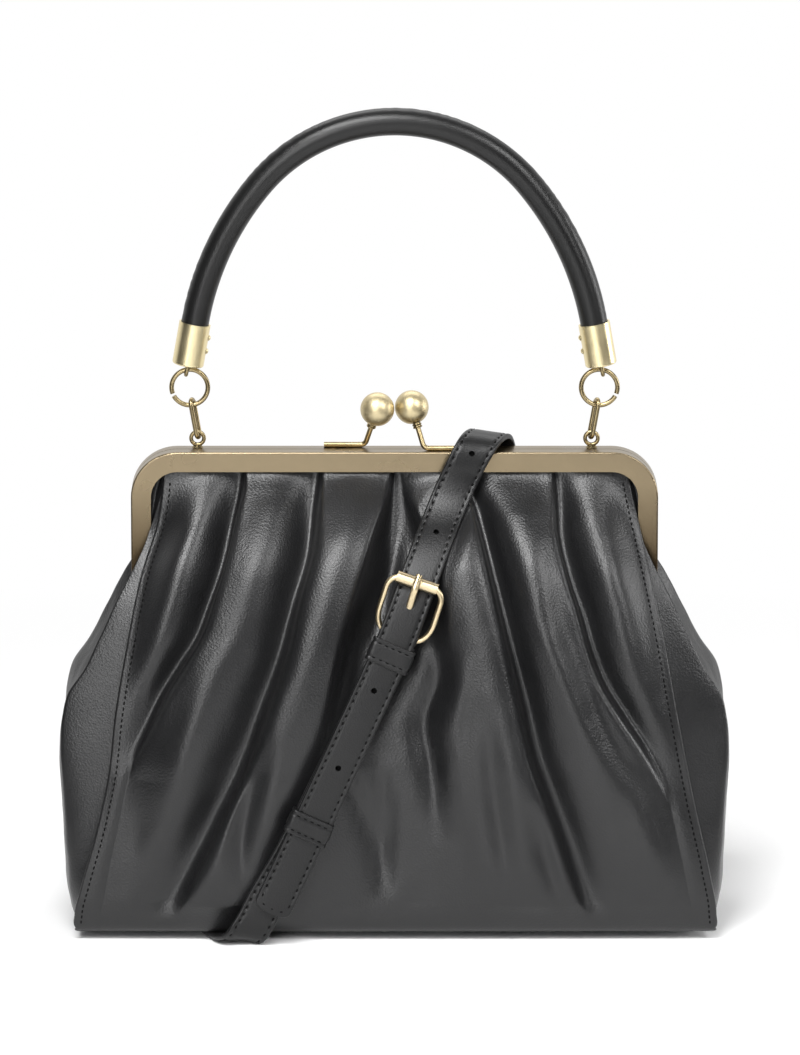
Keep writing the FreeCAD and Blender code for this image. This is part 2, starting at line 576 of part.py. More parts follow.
# the buckle's two layers lie this far apart where they run side by side
LAYER_GAP = 3.0
SKIVED_T = 1.4          # thinned leather where the strap is folded
FOLD_R = RING_BAR_R + 0.25 + SKIVED_T / 2
FOLD_L = 12.0           # length folded back and sewn
fold_span = FOLD_L + 4 * FOLD_R + 4
crest_z = FRAME_TOP + 6.8
tongue_path = bent_path(ring_fold(1) + [
    V(103, 51.6, 132), V(97, 62, 108), V(81.5, 66, 47), V(79.5, 56.2, 47), V(70, 56.2, 90),
    V(62, 52.0, 128), V(54, 43.5, 172), V(45, 13.5, 207), V(40, 13, crest_z), V(36.6, -13, crest_z),
    V(25, -13.5, 207), V(14.5, -40.5, 182), V(2.6, -53.4, 150), V(-24.1, -59.2, 92), V(-48, -59.9, 40),
    V(-58.5, -58.4, 16)],
    [FOLD_R - 0.02, FOLD_R - 0.02, 12, 40, 4.9, 4.9, 60, 80, 30, 14, 12.5, 12.5, 14, 30, 60, 120, 90])


def station(path, z, front_run):
    """Distance along the path where its front run passes this height."""
    best, where, total = 1e9, 0, path.Length
    for i in range(2001):
        distance = total * i / 2000
        point = band_at(path, distance)[0]
        miss = abs(point.z - z)
        if (point.y < -5) == front_run and miss < best:
            best, where = miss, distance
    return where


tip_cut = STRAP_W / 2
tongue = band(tongue_path, fold_span)
tip, along, across, normal = band_at(tongue_path, tongue_path.Length)
# round the tip off with a flat-ended cutter that has the tip's radius
round_c = tip - along * tip_cut
blunt = Part.makeCylinder(3 * tip_cut, 4 * STRAP_T, round_c - normal * (2 * STRAP_T), normal)
blunt = blunt.cut(Part.makeCylinder(tip_cut, 6 * STRAP_T, round_c - normal * (3 * STRAP_T), normal))
behind_c = round_c - along * (9 * tip_cut) - normal * (2 * STRAP_T)
behind = Part.makeCylinder(9 * tip_cut, 4 * STRAP_T, behind_c, normal)
tongue = tongue.cut(blunt.cut(behind))
HOLE_PITCH = 40.8
hole_zero = station(tongue_path, 160.6, True)
hole_seats = [hole_zero + i * HOLE_PITCH for i in (-2, -1, 1, 2)]
for seat in hole_seats:
    point, along, across, normal = band_at(tongue_path, seat)
    tongue = tongue.cut(Part.makeCylinder(HOLE_R, 3 * STRAP_T, point - normal * (1.5 * STRAP_T), normal))

# Buckle axes: roller above, pivot below, tipped so that the roller is over the strap and the pivot under it
roller_seat = station(tongue_path, 172.0, True)
point, along, across, normal = band_at(tongue_path, roller_seat)
roller_c = point + normal * (STRAP_T / 2 + 0.25 + ROLLER_R)
tilt = math.radians(BUCKLE_TILT)
reach = along * math.cos(tilt) - normal * math.sin(tilt)
face = across.cross(reach)
pivot_c = roller_c + reach * BUCKLE_L
bar = across * (BUCKLE_W / 2)
# the sides draw in to a shorter pivot bar
bar_in, taper = across * (BUCKLE_W / 2 - 3.4), reach * -8.0
loop = [roller_c, roller_c + bar, pivot_c + bar + taper, pivot_c + bar_in, pivot_c - bar_in,
        pivot_c - bar + taper, roller_c - bar, roller_c]
keep("buckle_frame", rod(bent_path(loop, [3.2, 6.0, 1.8, 1.8, 6.0, 3.2]), BUCKLE_WIRE_R))
roller = Part.makeCylinder(ROLLER_R, ROLLER_L, roller_c - across * (ROLLER_L / 2), across)
roller = roller.cut(Part.makeCylinder(BUCKLE_WIRE_R + RUN_FIT, ROLLER_L + 2,
                                      roller_c - across * (ROLLER_L / 2 + 1), across))
keep("buckle_roller", roller)

# Prong: an eye on the pivot bar, a run under the strap, up through the hole and over the roller
eye_r = BUCKLE_WIRE_R + RUN_FIT
prong_w = 3.2
prong_eye = Part.makeCylinder(eye_r + 1.2, prong_w, pivot_c - across * (prong_w / 2), across)


def from_roller(a, c):
    """A point of the prong, a along the strap and c outwards from the strap's middle."""
    return point + along * a + normal * c


over = STRAP_T / 2 + 0.25 + 2 * ROLLER_R + PRONG_R + 0.1
shank = rod(bent_path([pivot_c, from_roller(15.5, -2.9), from_roller(4.2, over), from_roller(-3.2, over)],
                      [3.0, 3.0]), PRONG_R, across * PRONG_HALF_W)
prong = prong_eye.fuse(shank)
pivot_bore = Part.makeCylinder(eye_r, prong_w + 2, pivot_c - across * (prong_w / 2 + 1), across)
prong = prong.cut(pivot_bore).removeSplitter()
keep("buckle_prong", prong)
slot_face = (from_roller(4.2, over) - from_roller(15.5, -2.9)).normalize()
slot = Part.makeCylinder(PRONG_HALF_W + 0.3, 26, from_roller(15.5, -2.9) - slot_face * 4, slot_face)
tongue = tongue.cut(slot)
keep("strap_tongue", tongue)

# Buckle side of the strap: from the left ring, under the base and up the front to the pivot bar
fold_in = BUCKLE_WIRE_R + 0.15
chape_r = fold_in + SKIVED_T
eye_clear = eye_r + 1.2 + 0.15          # the chape's bridge lies just past the prong's eye
BRIDGE_L = 2.0
run_low = V(-24.1, -59.2 + LAYER_GAP, 92)
run = (pivot_c - run_low).normalize()
run_l = (pivot_c - run_low).Length
under_path = bent_path(ring_fold(-1) + [
    V(-104, 52.2, 130), V(-104, 54.5, 100), V(-103, 56.2, 60), V(-97, 54.4, 2.1), V(-80, -54.2, 2.1),
    V(-48, -59.9 + LAYER_GAP, 40), run_low, run_low + run * (run_l - eye_clear - BRIDGE_L - SEAM_GAP)],
    [FOLD_R - 0.02, FOLD_R - 0.02, 20, 60, 60, 12.5, 12.5, 60, 120])
keep("strap_buckle_side", band(under_path, fold_span))
print("strap lengths: tongue %.0f mm, buckle side %.0f mm" % (tongue_path.Length, under_path.Length))

# Chape: two leather loops on the pivot bar with the prong between them, joined by a bridge at the strap's end
chape_w = 2 * (BUCKLE_W / 2 - 3.4 - 1.3)
prong_slot = prong_w + 1.0
chape = Part.makeCylinder(chape_r, chape_w, pivot_c - across * (chape_w / 2), across)
chape = chape.cut(Part.makeCylinder(chape_r + 1, prong_slot, pivot_c - across * (prong_slot / 2), across))
_, end_along, end_across, end_normal = band_at(under_path, under_path.Length)
tail_l = eye_clear + BRIDGE_L
tail = flat_box(pivot_c - run * (tail_l / 2), end_along, end_across, end_normal, chape_w, STRAP_T, tail_l)
tail = tail.cut(Part.makeCylinder(eye_clear, prong_slot, pivot_c - across * (prong_slot / 2), across))
chape = chape.fuse(tail)
chape = chape.cut(Part.makeCylinder(fold_in, chape_w + 4, pivot_c - across * (chape_w / 2 + 2), across))
keep("buckle_chape", chape.removeSplitter())


# Keepers: leather loops round both layers, one sewn by the buckle and one that slides
def keeper(z):
    """A loop round both strap layers where the strap's front passes this height."""
    top, t_along, t_across, t_normal = band_at(tongue_path, station(tongue_path, z, True))
    low = band_at(under_path, station(under_path, z, True))[0]
    depth = abs((top - low).dot(t_normal)) + STRAP_T + 2 * 0.25
    centre = (top + low) * 0.5
    width = STRAP_W + 0.8
    outer = flat_box(centre, t_along, t_across, t_normal, width + 2 * KEEPER_T, depth + 2 * KEEPER_T, KEEPER_L)
    inner = flat_box(centre, t_along, t_across, t_normal, width, depth, KEEPER_L + 2)
    return outer.cut(inner), t_along


fixed, _ = keeper(139.4)
keep("fixed_keeper", fixed)
sliding, slide_dir = keeper(58.0)
keep("sliding_keeper", sliding)
print("eye pivot", eye_pivot, "link top", link_top, "staple pivot", staple_pivot)
print("pivot bar", pivot_c, "roller", roller_c, "across", across, "slide", slide_dir)
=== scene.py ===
# %% [markdown]
# # Leather kiss-lock frame purse
# A soft black leather purse on a hinged brass frame, with a rolled handle and an adjustable strap. The
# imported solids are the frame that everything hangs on. Metal parts keep their solids and get a material.
# Every leather, thread and fabric part is modelled here and replaces its plain solid, because a soft
# shape is easier to write as a formula over a grid of points than to build from solid operations.
# Tables are in millimetres, with X to the right, the front at -Y and Z up.

# %% Load the frame
import math
import bpy
import numpy as np
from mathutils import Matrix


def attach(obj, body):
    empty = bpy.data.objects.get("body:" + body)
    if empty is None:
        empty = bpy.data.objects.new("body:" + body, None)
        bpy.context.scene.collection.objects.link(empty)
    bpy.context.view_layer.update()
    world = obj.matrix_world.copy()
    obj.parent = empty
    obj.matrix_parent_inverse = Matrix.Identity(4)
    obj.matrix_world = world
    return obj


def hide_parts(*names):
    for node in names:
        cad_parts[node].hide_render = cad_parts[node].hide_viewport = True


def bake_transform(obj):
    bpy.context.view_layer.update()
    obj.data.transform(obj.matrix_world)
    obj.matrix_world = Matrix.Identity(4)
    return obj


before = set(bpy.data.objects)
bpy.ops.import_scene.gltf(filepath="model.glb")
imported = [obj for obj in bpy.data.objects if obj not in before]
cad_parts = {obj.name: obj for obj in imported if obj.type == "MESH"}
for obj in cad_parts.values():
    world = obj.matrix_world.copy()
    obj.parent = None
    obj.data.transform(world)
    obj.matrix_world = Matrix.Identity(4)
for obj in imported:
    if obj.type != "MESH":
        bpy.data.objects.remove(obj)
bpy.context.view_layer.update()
MM = 0.001

# %% [markdown]
# ## Camera
# A purse is photographed for a shop through a long lens from a few metres away, so its sides don't flare.
# A camera could be placed by eye. Here the lens follows from the distance and from the size that one
# pixel covers at the purse, so the picture keeps the photograph's scale: nearly straight on, from about
# 12 degrees above.

# %% Camera
IMAGE_H = 1055
PIXEL = 0.4753 * MM         # one pixel of the photograph, at the purse's frame
ELEVATION = math.radians(12.0)
DISTANCE = 4.0              # metres from the camera to the purse
TARGET = np.array([2.6, 0.0, 189.9]) * MM       # what the middle of the picture shows
camera_data = bpy.data.cameras.new("camera")
camera_data.sensor_fit = "VERTICAL"
camera_data.sensor_height = 36.0
camera_data.lens = camera_data.sensor_height * DISTANCE / (IMAGE_H * PIXEL)
camera = bpy.data.objects.new("camera", camera_data)
camera.location = TARGET + DISTANCE * np.array([0.0, -math.cos(ELEVATION), math.sin(ELEVATION)])
camera.rotation_euler = (math.pi / 2 - ELEVATION, 0.0, 0.0)
bpy.context.scene.collection.objects.link(camera)
bpy.context.scene.camera = camera
print("camera lens %.0f mm" % camera_data.lens)

# %% [markdown]
# ## Helpers
# Leather is a sheet, so most pieces here are grids of points, with a face between each four. Straps and
# loops are ribbons: an outline carried along a line of points. Such meshes could be drawn by hand in Edit
# Mode. Written as points they follow the tables exactly, and a size is changed in one place.


# %% Curve and mesh helpers
def through(at, knots, values):
    """A smooth curve through the values at the knots, held at both ends: a cubic between each two knots,
    with the slope at a knot taken from its neighbours."""
    knots, values = np.asarray(knots, float), np.asarray(values, float)
    slopes = np.gradient(values, knots)
    at = np.clip(at, knots[0], knots[-1])
    i = np.clip(np.searchsorted(knots, at) - 1, 0, len(knots) - 2)
    step = knots[i + 1] - knots[i]
    t = (at - knots[i]) / step
    rise = t * t * (3 - 2 * t)
    return (values[i] * (1 - rise) + values[i + 1] * rise
            + step * t * (1 - t) * (slopes[i] * (1 - t) - slopes[i + 1] * t))


def along_rows(points):
    """Distance of each point of a line from the line's start."""
    steps = np.linalg.norm(np.diff(points, axis=0), axis=1)
    return np.concatenate([[0.0], np.cumsum(steps)])


def unit(vectors):
    """Vectors made one long."""
    return vectors / np.maximum(np.linalg.norm(vectors, axis=-1, keepdims=True), 1e-12)


def mesh_object(name, points, faces, material, smooth=True):
    """A mesh piece from points in millimetres."""
    mesh = bpy.data.meshes.new(name)
    mesh.from_pydata((np.asarray(points) * MM).tolist(), [], faces)
    mesh.polygons.foreach_set("use_smooth", [smooth] * len(mesh.polygons))
    mesh.update()
    piece = bpy.data.objects.new(name, mesh)
    bpy.context.scene.collection.objects.link(piece)
    mesh.materials.append(material)
    return piece


def grid_faces(rows, cols, wrap_rows=False, wrap_cols=False):
    """Four-sided faces of a grid of points, closed round where asked."""
    index = np.arange(rows * cols).reshape(rows, cols)
    if wrap_rows:
        index = np.concatenate([index, index[:1]], axis=0)
    if wrap_cols:
        index = np.concatenate([index, index[:, :1]], axis=1)
    quads = np.stack([index[:-1, :-1], index[:-1, 1:], index[1:, 1:], index[1:, :-1]], axis=-1)
    return quads.reshape(-1, 4).tolist()


def end_faces(rows, cols):
    """Faces that close both ends of a tube made of rings of points."""
    return [list(range(cols - 1, -1, -1)), list(range((rows - 1) * cols, rows * cols))]


def grid_object(name, points, material):
    """A sheet from a grid of points."""
    rows, cols = points.shape[:2]
    return mesh_object(name, points.reshape(-1, 3), grid_faces(rows, cols), material)


def normals_of(points):
    """Unit normals of a grid of points: square to the steps along its columns and its rows."""
    return unit(np.cross(np.gradient(points, axis=1), np.gradient(points, axis=0)))


def facing_out(points, side):
    """Unit normals of the front or back of the bag, turned to that side."""
    out = normals_of(points)
    return out * np.sign((out[..., 1:2] * side).mean())


GROOVE_W = 0.6          # half width of a stitch groove


def rounded_section(width, thick, edge, crown=0.0, groove=None):
    """Outline of a strip with rounded edges: offsets across and out, and how far each point sinks with the
    stitch groove. The top bulges by the crown in the middle and the groove is a bell across the strip."""
    turn = np.linspace(0, math.pi / 2, 4)
    corner = np.stack([np.cos(turn), np.sin(turn)], axis=1) * edge + (width / 2 - edge, thick / 2 - edge)
    span = width / 2 - edge
    x = span * np.cos(np.linspace(0, math.pi, 33))[1:-1]
    middle = np.stack([x, thick / 2 + crown * (1 - (x / span) ** 2) ** 0.7], axis=1)
    top = np.concatenate([corner, middle, corner[::-1] * (-1, 1)])
    under = corner * (-1, -1)
    outline = np.concatenate([top, under, under[::-1] * (-1, 1)])
    sinks = np.zeros(len(outline))
    if groove:
        from_groove = np.abs(top[:, 0]) - (width / 2 - groove)
        sinks[:len(top)] = np.exp(-(from_groove / GROOVE_W) ** 2)
    return np.column_stack([outline, sinks])


def ribbon_points(centre, across, out, section, widen=1.0, thicken=1.0, sink=0.0):
    """Rings of points of a strip, one ring for each centre point: the centre, the section's offset across
    times the widening, and its offset out times the thickening less the sunk groove."""
    shares = (np.broadcast_to(value, len(centre))[:, None] for value in (widen, thicken, sink))
    widen, thicken, sink = shares
    sideways = (section[None, :, 0] * widen)[..., None]
    outwards = (section[None, :, 1] * thicken - section[None, :, 2] * sink)[..., None]
    return centre[:, None, :] + across[:, None, :] * sideways + out[:, None, :] * outwards


def ribbon(name, rings, material, closed=False):
    """A strip of leather from its rings of points, with flat ends unless it is a loop."""
    rows, cols = rings.shape[:2]
    faces = grid_faces(rows, cols, wrap_rows=closed, wrap_cols=True)
    caps = [] if closed else end_faces(rows, cols)
    piece = mesh_object(name, rings.reshape(-1, 3), faces + caps, material)
    mesh = piece.data
    mesh.polygons.foreach_set("use_smooth", np.arange(len(mesh.polygons)) < len(faces))
    ends = np.empty(2 * len(mesh.edges), int)
    mesh.edges.foreach_get("vertices", ends)
    ring = ends.reshape(-1, 2) // cols
    rim = (ring[:, 0] == ring[:, 1]) & np.isin(ring[:, 0], (0, rows - 1)) & (len(caps) > 0)
    sharp = mesh.attributes.new("sharp_edge", "BOOLEAN", "EDGE")
    sharp.data.foreach_set("value", rim)
    return piece


print("helpers ready")

# %% [markdown]
# ## Materials
# Black leather has a fine pebble grain, pores and slow changes of gloss. The brass is of several kinds:
# satin antique plating on the frame, more tarnish on the chains and the clasp's wires, paler balls, and
# brighter brushed brass on the ferrules and the buckle. Scanned images could give these looks. Here they
# come from noise and cell textures in object coordinates, which need no unwrapping and stay sharp.


# %% Material helpers
MOTTLE = (0.3, 0.7)         # noise values between which a finish changes
WEAVE = 160.0               # wave scale that gives threads 1 mm wide


def shader(name):
    """A new node material: the material, its tree and its main shader."""
    material = bpy.data.materials.new(name)
    material.use_nodes = True
    tree = material.node_tree
    return material, tree, tree.nodes["Principled BSDF"]


def feed(tree, socket, value):
    """Give an input a plain value, or link it to another node's output."""
    if isinstance(value, bpy.types.NodeSocket):
        tree.links.new(value, socket)
    else:
        socket.default_value = value


def set_inputs(tree, made, **values):
    """Feed a node's inputs by name, with _ for a space."""
    for key, value in values.items():
        feed(tree, made.inputs[key.replace("_", " ")], value)


def node(tree, kind, **values):
    """A new node with its settings, or its inputs by name with _ for a space."""
    made = tree.nodes.new(kind)
    for key, value in values.items():
        if hasattr(made, key):
            setattr(made, key, value)
        else:
            set_inputs(tree, made, **{key: value})
    return made


def place(tree, scale=(1.0, 1.0, 1.0)):
    """Object coordinates, stretched."""
    where = node(tree, "ShaderNodeTexCoord")
    return node(tree, "ShaderNodeMapping", Scale=scale, Vector=where.outputs["Object"]).outputs["Vector"]


def ranged(tree, value, low, high, from_low=0.0, from_high=1.0):
    """A value moved into a new range."""
    remap = node(tree, "ShaderNodeMapRange", Value=value, From_Min=from_low, From_Max=from_high,
                 To_Min=low, To_Max=high)
    return remap.outputs["Result"]


def combined(tree, operation, one, other):
    """Two values multiplied, or the greater of two."""
    made = node(tree, "ShaderNodeMath", operation=operation)
    feed(tree, made.inputs[0], one)
    feed(tree, made.inputs[1], other)
    return made.outputs["Value"]


def tinted(tree, value, dark, light):
    """A colour between two, by a value."""
    mix = node(tree, "ShaderNodeMix", data_type="RGBA")
    feed(tree, mix.inputs[0], value)
    feed(tree, mix.inputs[6], (*dark, 1.0))
    feed(tree, mix.inputs[7], (*light, 1.0))
    return mix.outputs[2]


def leather(name, dark, light, rough, grain_mm, depth, shine=0.5):
    """Grained leather: pebbles and pores as bump, slow changes of colour and gloss."""
    material, tree, main = shader(name)
    spot = place(tree)
    pebble = node(tree, "ShaderNodeTexVoronoi", Scale=1000.0 / grain_mm, Randomness=1.0, Vector=spot)
    pore = node(tree, "ShaderNodeTexNoise", Scale=2600.0, Detail=2.0, Vector=spot)
    slow = node(tree, "ShaderNodeTexNoise", Scale=22.0, Detail=4.0, Roughness=0.6, Vector=spot)
    first = node(tree, "ShaderNodeBump", Strength=depth, Distance=0.12 * MM,
                 Height=pebble.outputs["Distance"])
    second = node(tree, "ShaderNodeBump", Strength=depth * 0.6, Distance=0.05 * MM,
                  Height=pore.outputs["Fac"], Normal=first.outputs["Normal"])
    set_inputs(tree, main, Normal=second.outputs["Normal"],
               Base_Color=tinted(tree, slow.outputs["Fac"], dark, light),
               Roughness=ranged(tree, slow.outputs["Fac"], rough - 0.05, rough + 0.06, *MOTTLE),
               Specular_IOR_Level=shine, Sheen_Weight=0.01, Sheen_Roughness=0.4)
    return material


def brass(name, dark, light, rough, brush, stretch):
    """Brushed brass: fine scratches one way, slow tarnish in colour and gloss."""
    material, tree, main = shader(name)
    lines = node(tree, "ShaderNodeTexNoise", Scale=1.0, Detail=3.0, Roughness=0.6,
                 Vector=place(tree, stretch))
    slow = node(tree, "ShaderNodeTexNoise", Scale=60.0, Detail=3.0, Vector=place(tree))
    bump = node(tree, "ShaderNodeBump", Strength=brush, Distance=0.03 * MM, Height=lines.outputs["Fac"])
    set_inputs(tree, main, Normal=bump.outputs["Normal"], Metallic=1.0,
               Base_Color=tinted(tree, slow.outputs["Fac"], dark, light),
               Roughness=ranged(tree, slow.outputs["Fac"], rough - 0.04, rough + 0.05, *MOTTLE))
    return material


def woven(name, dark, light, thread_mm, shine=0.5, fuzz=0.2):
    """Woven fabric or twisted fibre: two sets of waves that cross, multiplied."""
    material, tree, main = shader(name)
    spot = place(tree)
    warp = node(tree, "ShaderNodeTexWave", Scale=WEAVE / thread_mm, Distortion=0.6, Detail=1.0, Vector=spot)
    weft = node(tree, "ShaderNodeTexWave", Scale=WEAVE / thread_mm, Distortion=0.6, bands_direction="Z",
                Vector=spot)
    both = combined(tree, "MULTIPLY", warp.outputs["Fac"], weft.outputs["Fac"])
    bump = node(tree, "ShaderNodeBump", Strength=0.4, Distance=0.1 * MM, Height=both)
    set_inputs(tree, main, Normal=bump.outputs["Normal"], Base_Color=tinted(tree, both, dark, light),
               Roughness=0.85, Specular_IOR_Level=shine, Sheen_Weight=fuzz)
    return material


def tint_darker_lower_down(material, dark, low, high):
    """A tint over the base colour by height, darker lower down."""
    tree = material.node_tree
    main = tree.nodes["Principled BSDF"]
    colour = main.inputs["Base Color"].links[0].from_socket
    height = node(tree, "ShaderNodeSeparateXYZ", Vector=place(tree)).outputs["Z"]
    tint = node(tree, "ShaderNodeMix", data_type="RGBA", blend_type="MULTIPLY")
    feed(tree, tint.inputs[0], 1.0)
    feed(tree, tint.inputs[6], colour)
    feed(tree, tint.inputs[7], tinted(tree, ranged(tree, height, 0.0, 1.0, low, high), dark, (1, 1, 1)))
    feed(tree, main.inputs["Base Color"], tint.outputs[2])


print("material helpers ready")

# %% Leather, thread and fabric
body_leather = leather("grained_leather", (0.0048, 0.0048, 0.0052), (0.0085, 0.0085, 0.009), rough=0.36,
                       grain_mm=1.0, depth=0.75)
strap_leather = leather("smooth_leather", (0.005, 0.005, 0.0054), (0.009, 0.009, 0.0092), rough=0.36,
                        grain_mm=0.8, depth=0.45, shine=0.32)
handle_leather = leather("rolled_leather", (0.0045, 0.0045, 0.0046), (0.008, 0.008, 0.008), rough=0.31,
                         grain_mm=0.6, depth=0.4, shine=0.36)
thread = woven("thread", (0.002, 0.002, 0.002), (0.006, 0.006, 0.006), thread_mm=0.25, shine=0.12, fuzz=0.0)
lining_cloth = woven("lining_fabric", (0.012, 0.012, 0.013), (0.035, 0.034, 0.034), thread_mm=0.5)
cord_fibre = woven("cord_fibre", (0.42, 0.34, 0.23), (0.66, 0.56, 0.42), thread_mm=0.6)
board = leather("board", (0.09, 0.085, 0.075), (0.13, 0.12, 0.11), rough=0.7, grain_mm=1.2, depth=0.2)
print("leather, thread and fabric ready")

# %% Brass
frame_brass = brass("frame_brass", (0.21, 0.166, 0.105), (0.275, 0.22, 0.14), rough=0.30, brush=0.1,
                    stretch=(60.0, 1500.0, 1500.0))
chain_brass = brass("chain_brass", (0.17, 0.13, 0.065), (0.44, 0.355, 0.20), rough=0.28, brush=0.2,
                    stretch=(900.0, 900.0, 300.0))
ball_brass = brass("ball_brass", (0.50, 0.42, 0.25), (0.64, 0.545, 0.345), rough=0.42, brush=0.15,
                   stretch=(500.0, 500.0, 500.0))
bright_brass = brass("bright_brass", (0.78, 0.66, 0.38), (0.88, 0.77, 0.49), rough=0.32, brush=0.3,
                     stretch=(2500.0, 2500.0, 90.0))
buckle_brass = brass("buckle_brass", (0.52, 0.42, 0.255), (0.74, 0.62, 0.41), rough=0.30, brush=0.2,
                     stretch=(900.0, 900.0, 900.0))
# the frame's brass is tinted darker lower down, towards and over the legs
tint_darker_lower_down(frame_brass, (0.30, 0.27, 0.24), low=178 * MM, high=214 * MM)
print("brass ready")

# %% [markdown]
# ## Strap route
# The strap is one long strip in two parts. The tongue side starts at the right back ring, hangs in a
# slack loop behind the purse, crosses the frame and runs down the front through the buckle to its tip.
# The buckle side starts at the left back ring, passes under the base and comes up the front.
# A curve with a bevel could make it, but a bevel twists at tight turns. Here a spline gives only the
# strap's middle line, and each cross-section is then set level by its own directions.

# %% Strap route
PIVOT = np.array([2.556, -48.623, 147.936])         # middle of the bar that the buckle turns on
ROLLER = np.array([10.755, -48.594, 173.556])       # middle of the roller's bar
BAR = np.array([0.94535, -0.12191, -0.30241])       # direction of both bars
# points that control each part's middle line, from its ring on
TONGUE = [
    (104, 46.9, 125.5), (104, 45.6, 140.6), (104, 51.4, 140.6), (103.6, 52.0, 131), (97, 62, 108),
    (81.5, 66, 47), (79.5, 56.2, 47), (70.5, 56.2, 90), (63, 52.0, 128), (56.5, 43.5, 172), (51, 13.5, 207),
    (47.8, 13, 234.6), (39.2, -13, 234.6), (26.2, -13.5, 207), (14.5, -40.5, 182), (2.6, -53.4, 150),
    (-24.1, -59.2, 92), (-48, -60.6, 40), (-54.6, -61.6, 26), (-58.8, -62.2, 17)]
UNDER = [
    (-104, 46.9, 125.5), (-104, 45.6, 140.6), (-104, 51.4, 140.6), (-104, 52.0, 130), (-104, 54.5, 100),
    (-103, 56.2, 60), (-102, 57.6, 16), (-101, 55.6, 3.0), (-99, 42, 1.9), (-92, -10, 1.9), (-82, -38, 1.9),
    (-74.5, -55.5, 2.4), (-67.5, -60.4, 8), (-60.5, -58.9, 23), (-48.5, -57.6, 42), (-24.1, -56.2, 92),
    (-4.0, -50.6, 134), (1.275, -48.99, 145.25)]


def evaluated_mesh(holder):
    """The mesh of an object with its curve or its modifiers worked out."""
    bpy.context.view_layer.update()
    return bpy.data.meshes.new_from_object(holder.evaluated_get(bpy.context.evaluated_depsgraph_get()))


def route(name, points):
    """Points, in millimetres, along the smooth spline that the route's points control."""
    data = bpy.data.curves.new(name, "CURVE")
    data.dimensions = "3D"
    spline = data.splines.new("NURBS")
    spline.points.add(len(points) - 1)
    for point, place_mm in zip(spline.points, points):
        point.co = (*place_mm, 1.0)
    spline.order_u = 3
    spline.use_endpoint_u = True
    spline.resolution_u = 48
    holder = bpy.data.objects.new(name, data)
    bpy.context.scene.collection.objects.link(holder)
    line = np.array([v.co for v in evaluated_mesh(holder).vertices], float)
    bpy.data.objects.remove(holder)
    keep = np.concatenate([[True], np.linalg.norm(np.diff(line, axis=0), axis=1) > 1e-4])
    return line[keep]


def strap_axes(line):
    """Directions along, across and out of a strap: out is square to the line and has no sideways part,
    and across is square to both."""
    along = unit(np.gradient(line, axis=0))
    out = unit(np.stack([np.zeros(len(line)), along[:, 2], -along[:, 1]], axis=1))
    return along, unit(np.cross(out, along)), out


def rolled(axes, angle):
    """Axes of a strap turned about its length by an angle at each point."""
    along, across, out = axes
    cos, sin = np.cos(angle)[:, None], np.sin(angle)[:, None]
    return along, across * cos + out * sin, out * cos - across * sin


tongue_line = route("tongue_route", TONGUE)
under_line = route("under_route", UNDER)
tongue_far = along_rows(tongue_line)
under_far = along_rows(under_line)
print("strap: tongue %.0f mm, buckle side %.0f mm" % (tongue_far[-1], under_far[-1]))

# %% [markdown]
# ## Strap
# Both parts are 18 mm wide with painted, rounded edges; the folded ends at the rings are skived thin.
# The tongue has a rounded tip and holes, which a Boolean modifier cuts as a punch would. It is made in
# three lengths: from the ring at the back to the slack loop, on behind the purse to the frame's top, and
# down the front.

# %% Strap bands
STRAP_W = 18.0
STRAP_T = 2.6
EDGE_R = 0.7            # rounding of the painted edge
CROWN_H = 0.35          # bulge of the strap's face
SKIVED = 1.4 / STRAP_T
FOLD_L = 26.0           # skived length at the ring
FOLD_FADE = 5.0         # over which the strap grows to its full thickness
TIP_R = 5.0
TIP_POWER = 3.0         # 2 would be a round tip, and more is blunter
INSET = 2.1             # stitch rows from the edge
PITCH = 3.9             # from stitch to stitch
CREST_W = 16.0          # how far the strap leans, before and behind the frame's top
CREST_Z = 212.0         # height where it starts to lean
CREST_LEAN = math.radians(-10)
LOOP_Z = 80.0           # height where the slack loop behind the purse starts
section = rounded_section(STRAP_W, STRAP_T, EDGE_R, CROWN_H, INSET)
over_frame = np.exp(-((tongue_line[:, 1] / CREST_W) ** 2))
over_frame = over_frame * np.clip((tongue_line[:, 2] - CREST_Z) / CREST_W, 0, 1)
tongue_along, tongue_across, tongue_out = rolled(strap_axes(tongue_line), CREST_LEAN * over_frame)
under_across, under_out = (-axis for axis in strap_axes(under_line)[1:])     # its face is on the other side


def past_fold(far):
    """Zero over the fold at the ring, rising to one past it."""
    return np.clip((far - FOLD_L) / FOLD_FADE, 0, 1)


def thickness(far):
    """Share of the strap's thickness, thin over the fold at the ring."""
    return SKIVED + (1 - SKIVED) * past_fold(far)


def puckers(far):
    """Depth of the stitch groove: a cosine, deep at each stitch, shallow between two, none at the ends."""
    ends = past_fold(far) * np.clip((far[-1] - far - 7.0) / 2.0, 0, 1)
    return ends * (0.34 - 0.16 * np.cos(2 * math.pi * far / PITCH))


to_tip = np.clip((tongue_far[-1] - tongue_far) / TIP_R, 0.02, 1)
tip_width = (1 - (1 - to_tip) ** TIP_POWER) ** (1 / TIP_POWER)
tongue_rings = ribbon_points(tongue_line, tongue_across, tongue_out, section, tip_width,
                             thickness(tongue_far), puckers(tongue_far))
crest = int(np.argmax((tongue_line[:, 1] < -9) & (tongue_line[:, 2] > 215)))
drop = int(np.argmax(tongue_line[:, 2] < LOOP_Z))
tongue_end = ribbon("strap_over_end", tongue_rings[:drop + 1], strap_leather)
tongue_back = ribbon("strap_over_back", tongue_rings[drop:crest + 1], strap_leather)
tongue_front = ribbon("strap_over_front", tongue_rings[crest:], strap_leather)
under_rings = ribbon_points(under_line, under_across, under_out, section, 1.0, thickness(under_far),
                            puckers(under_far))
under_strap = ribbon("strap_under", under_rings, strap_leather)
print("strap bands made, the tongue joined at points", drop, "and", crest, "of", len(tongue_line))

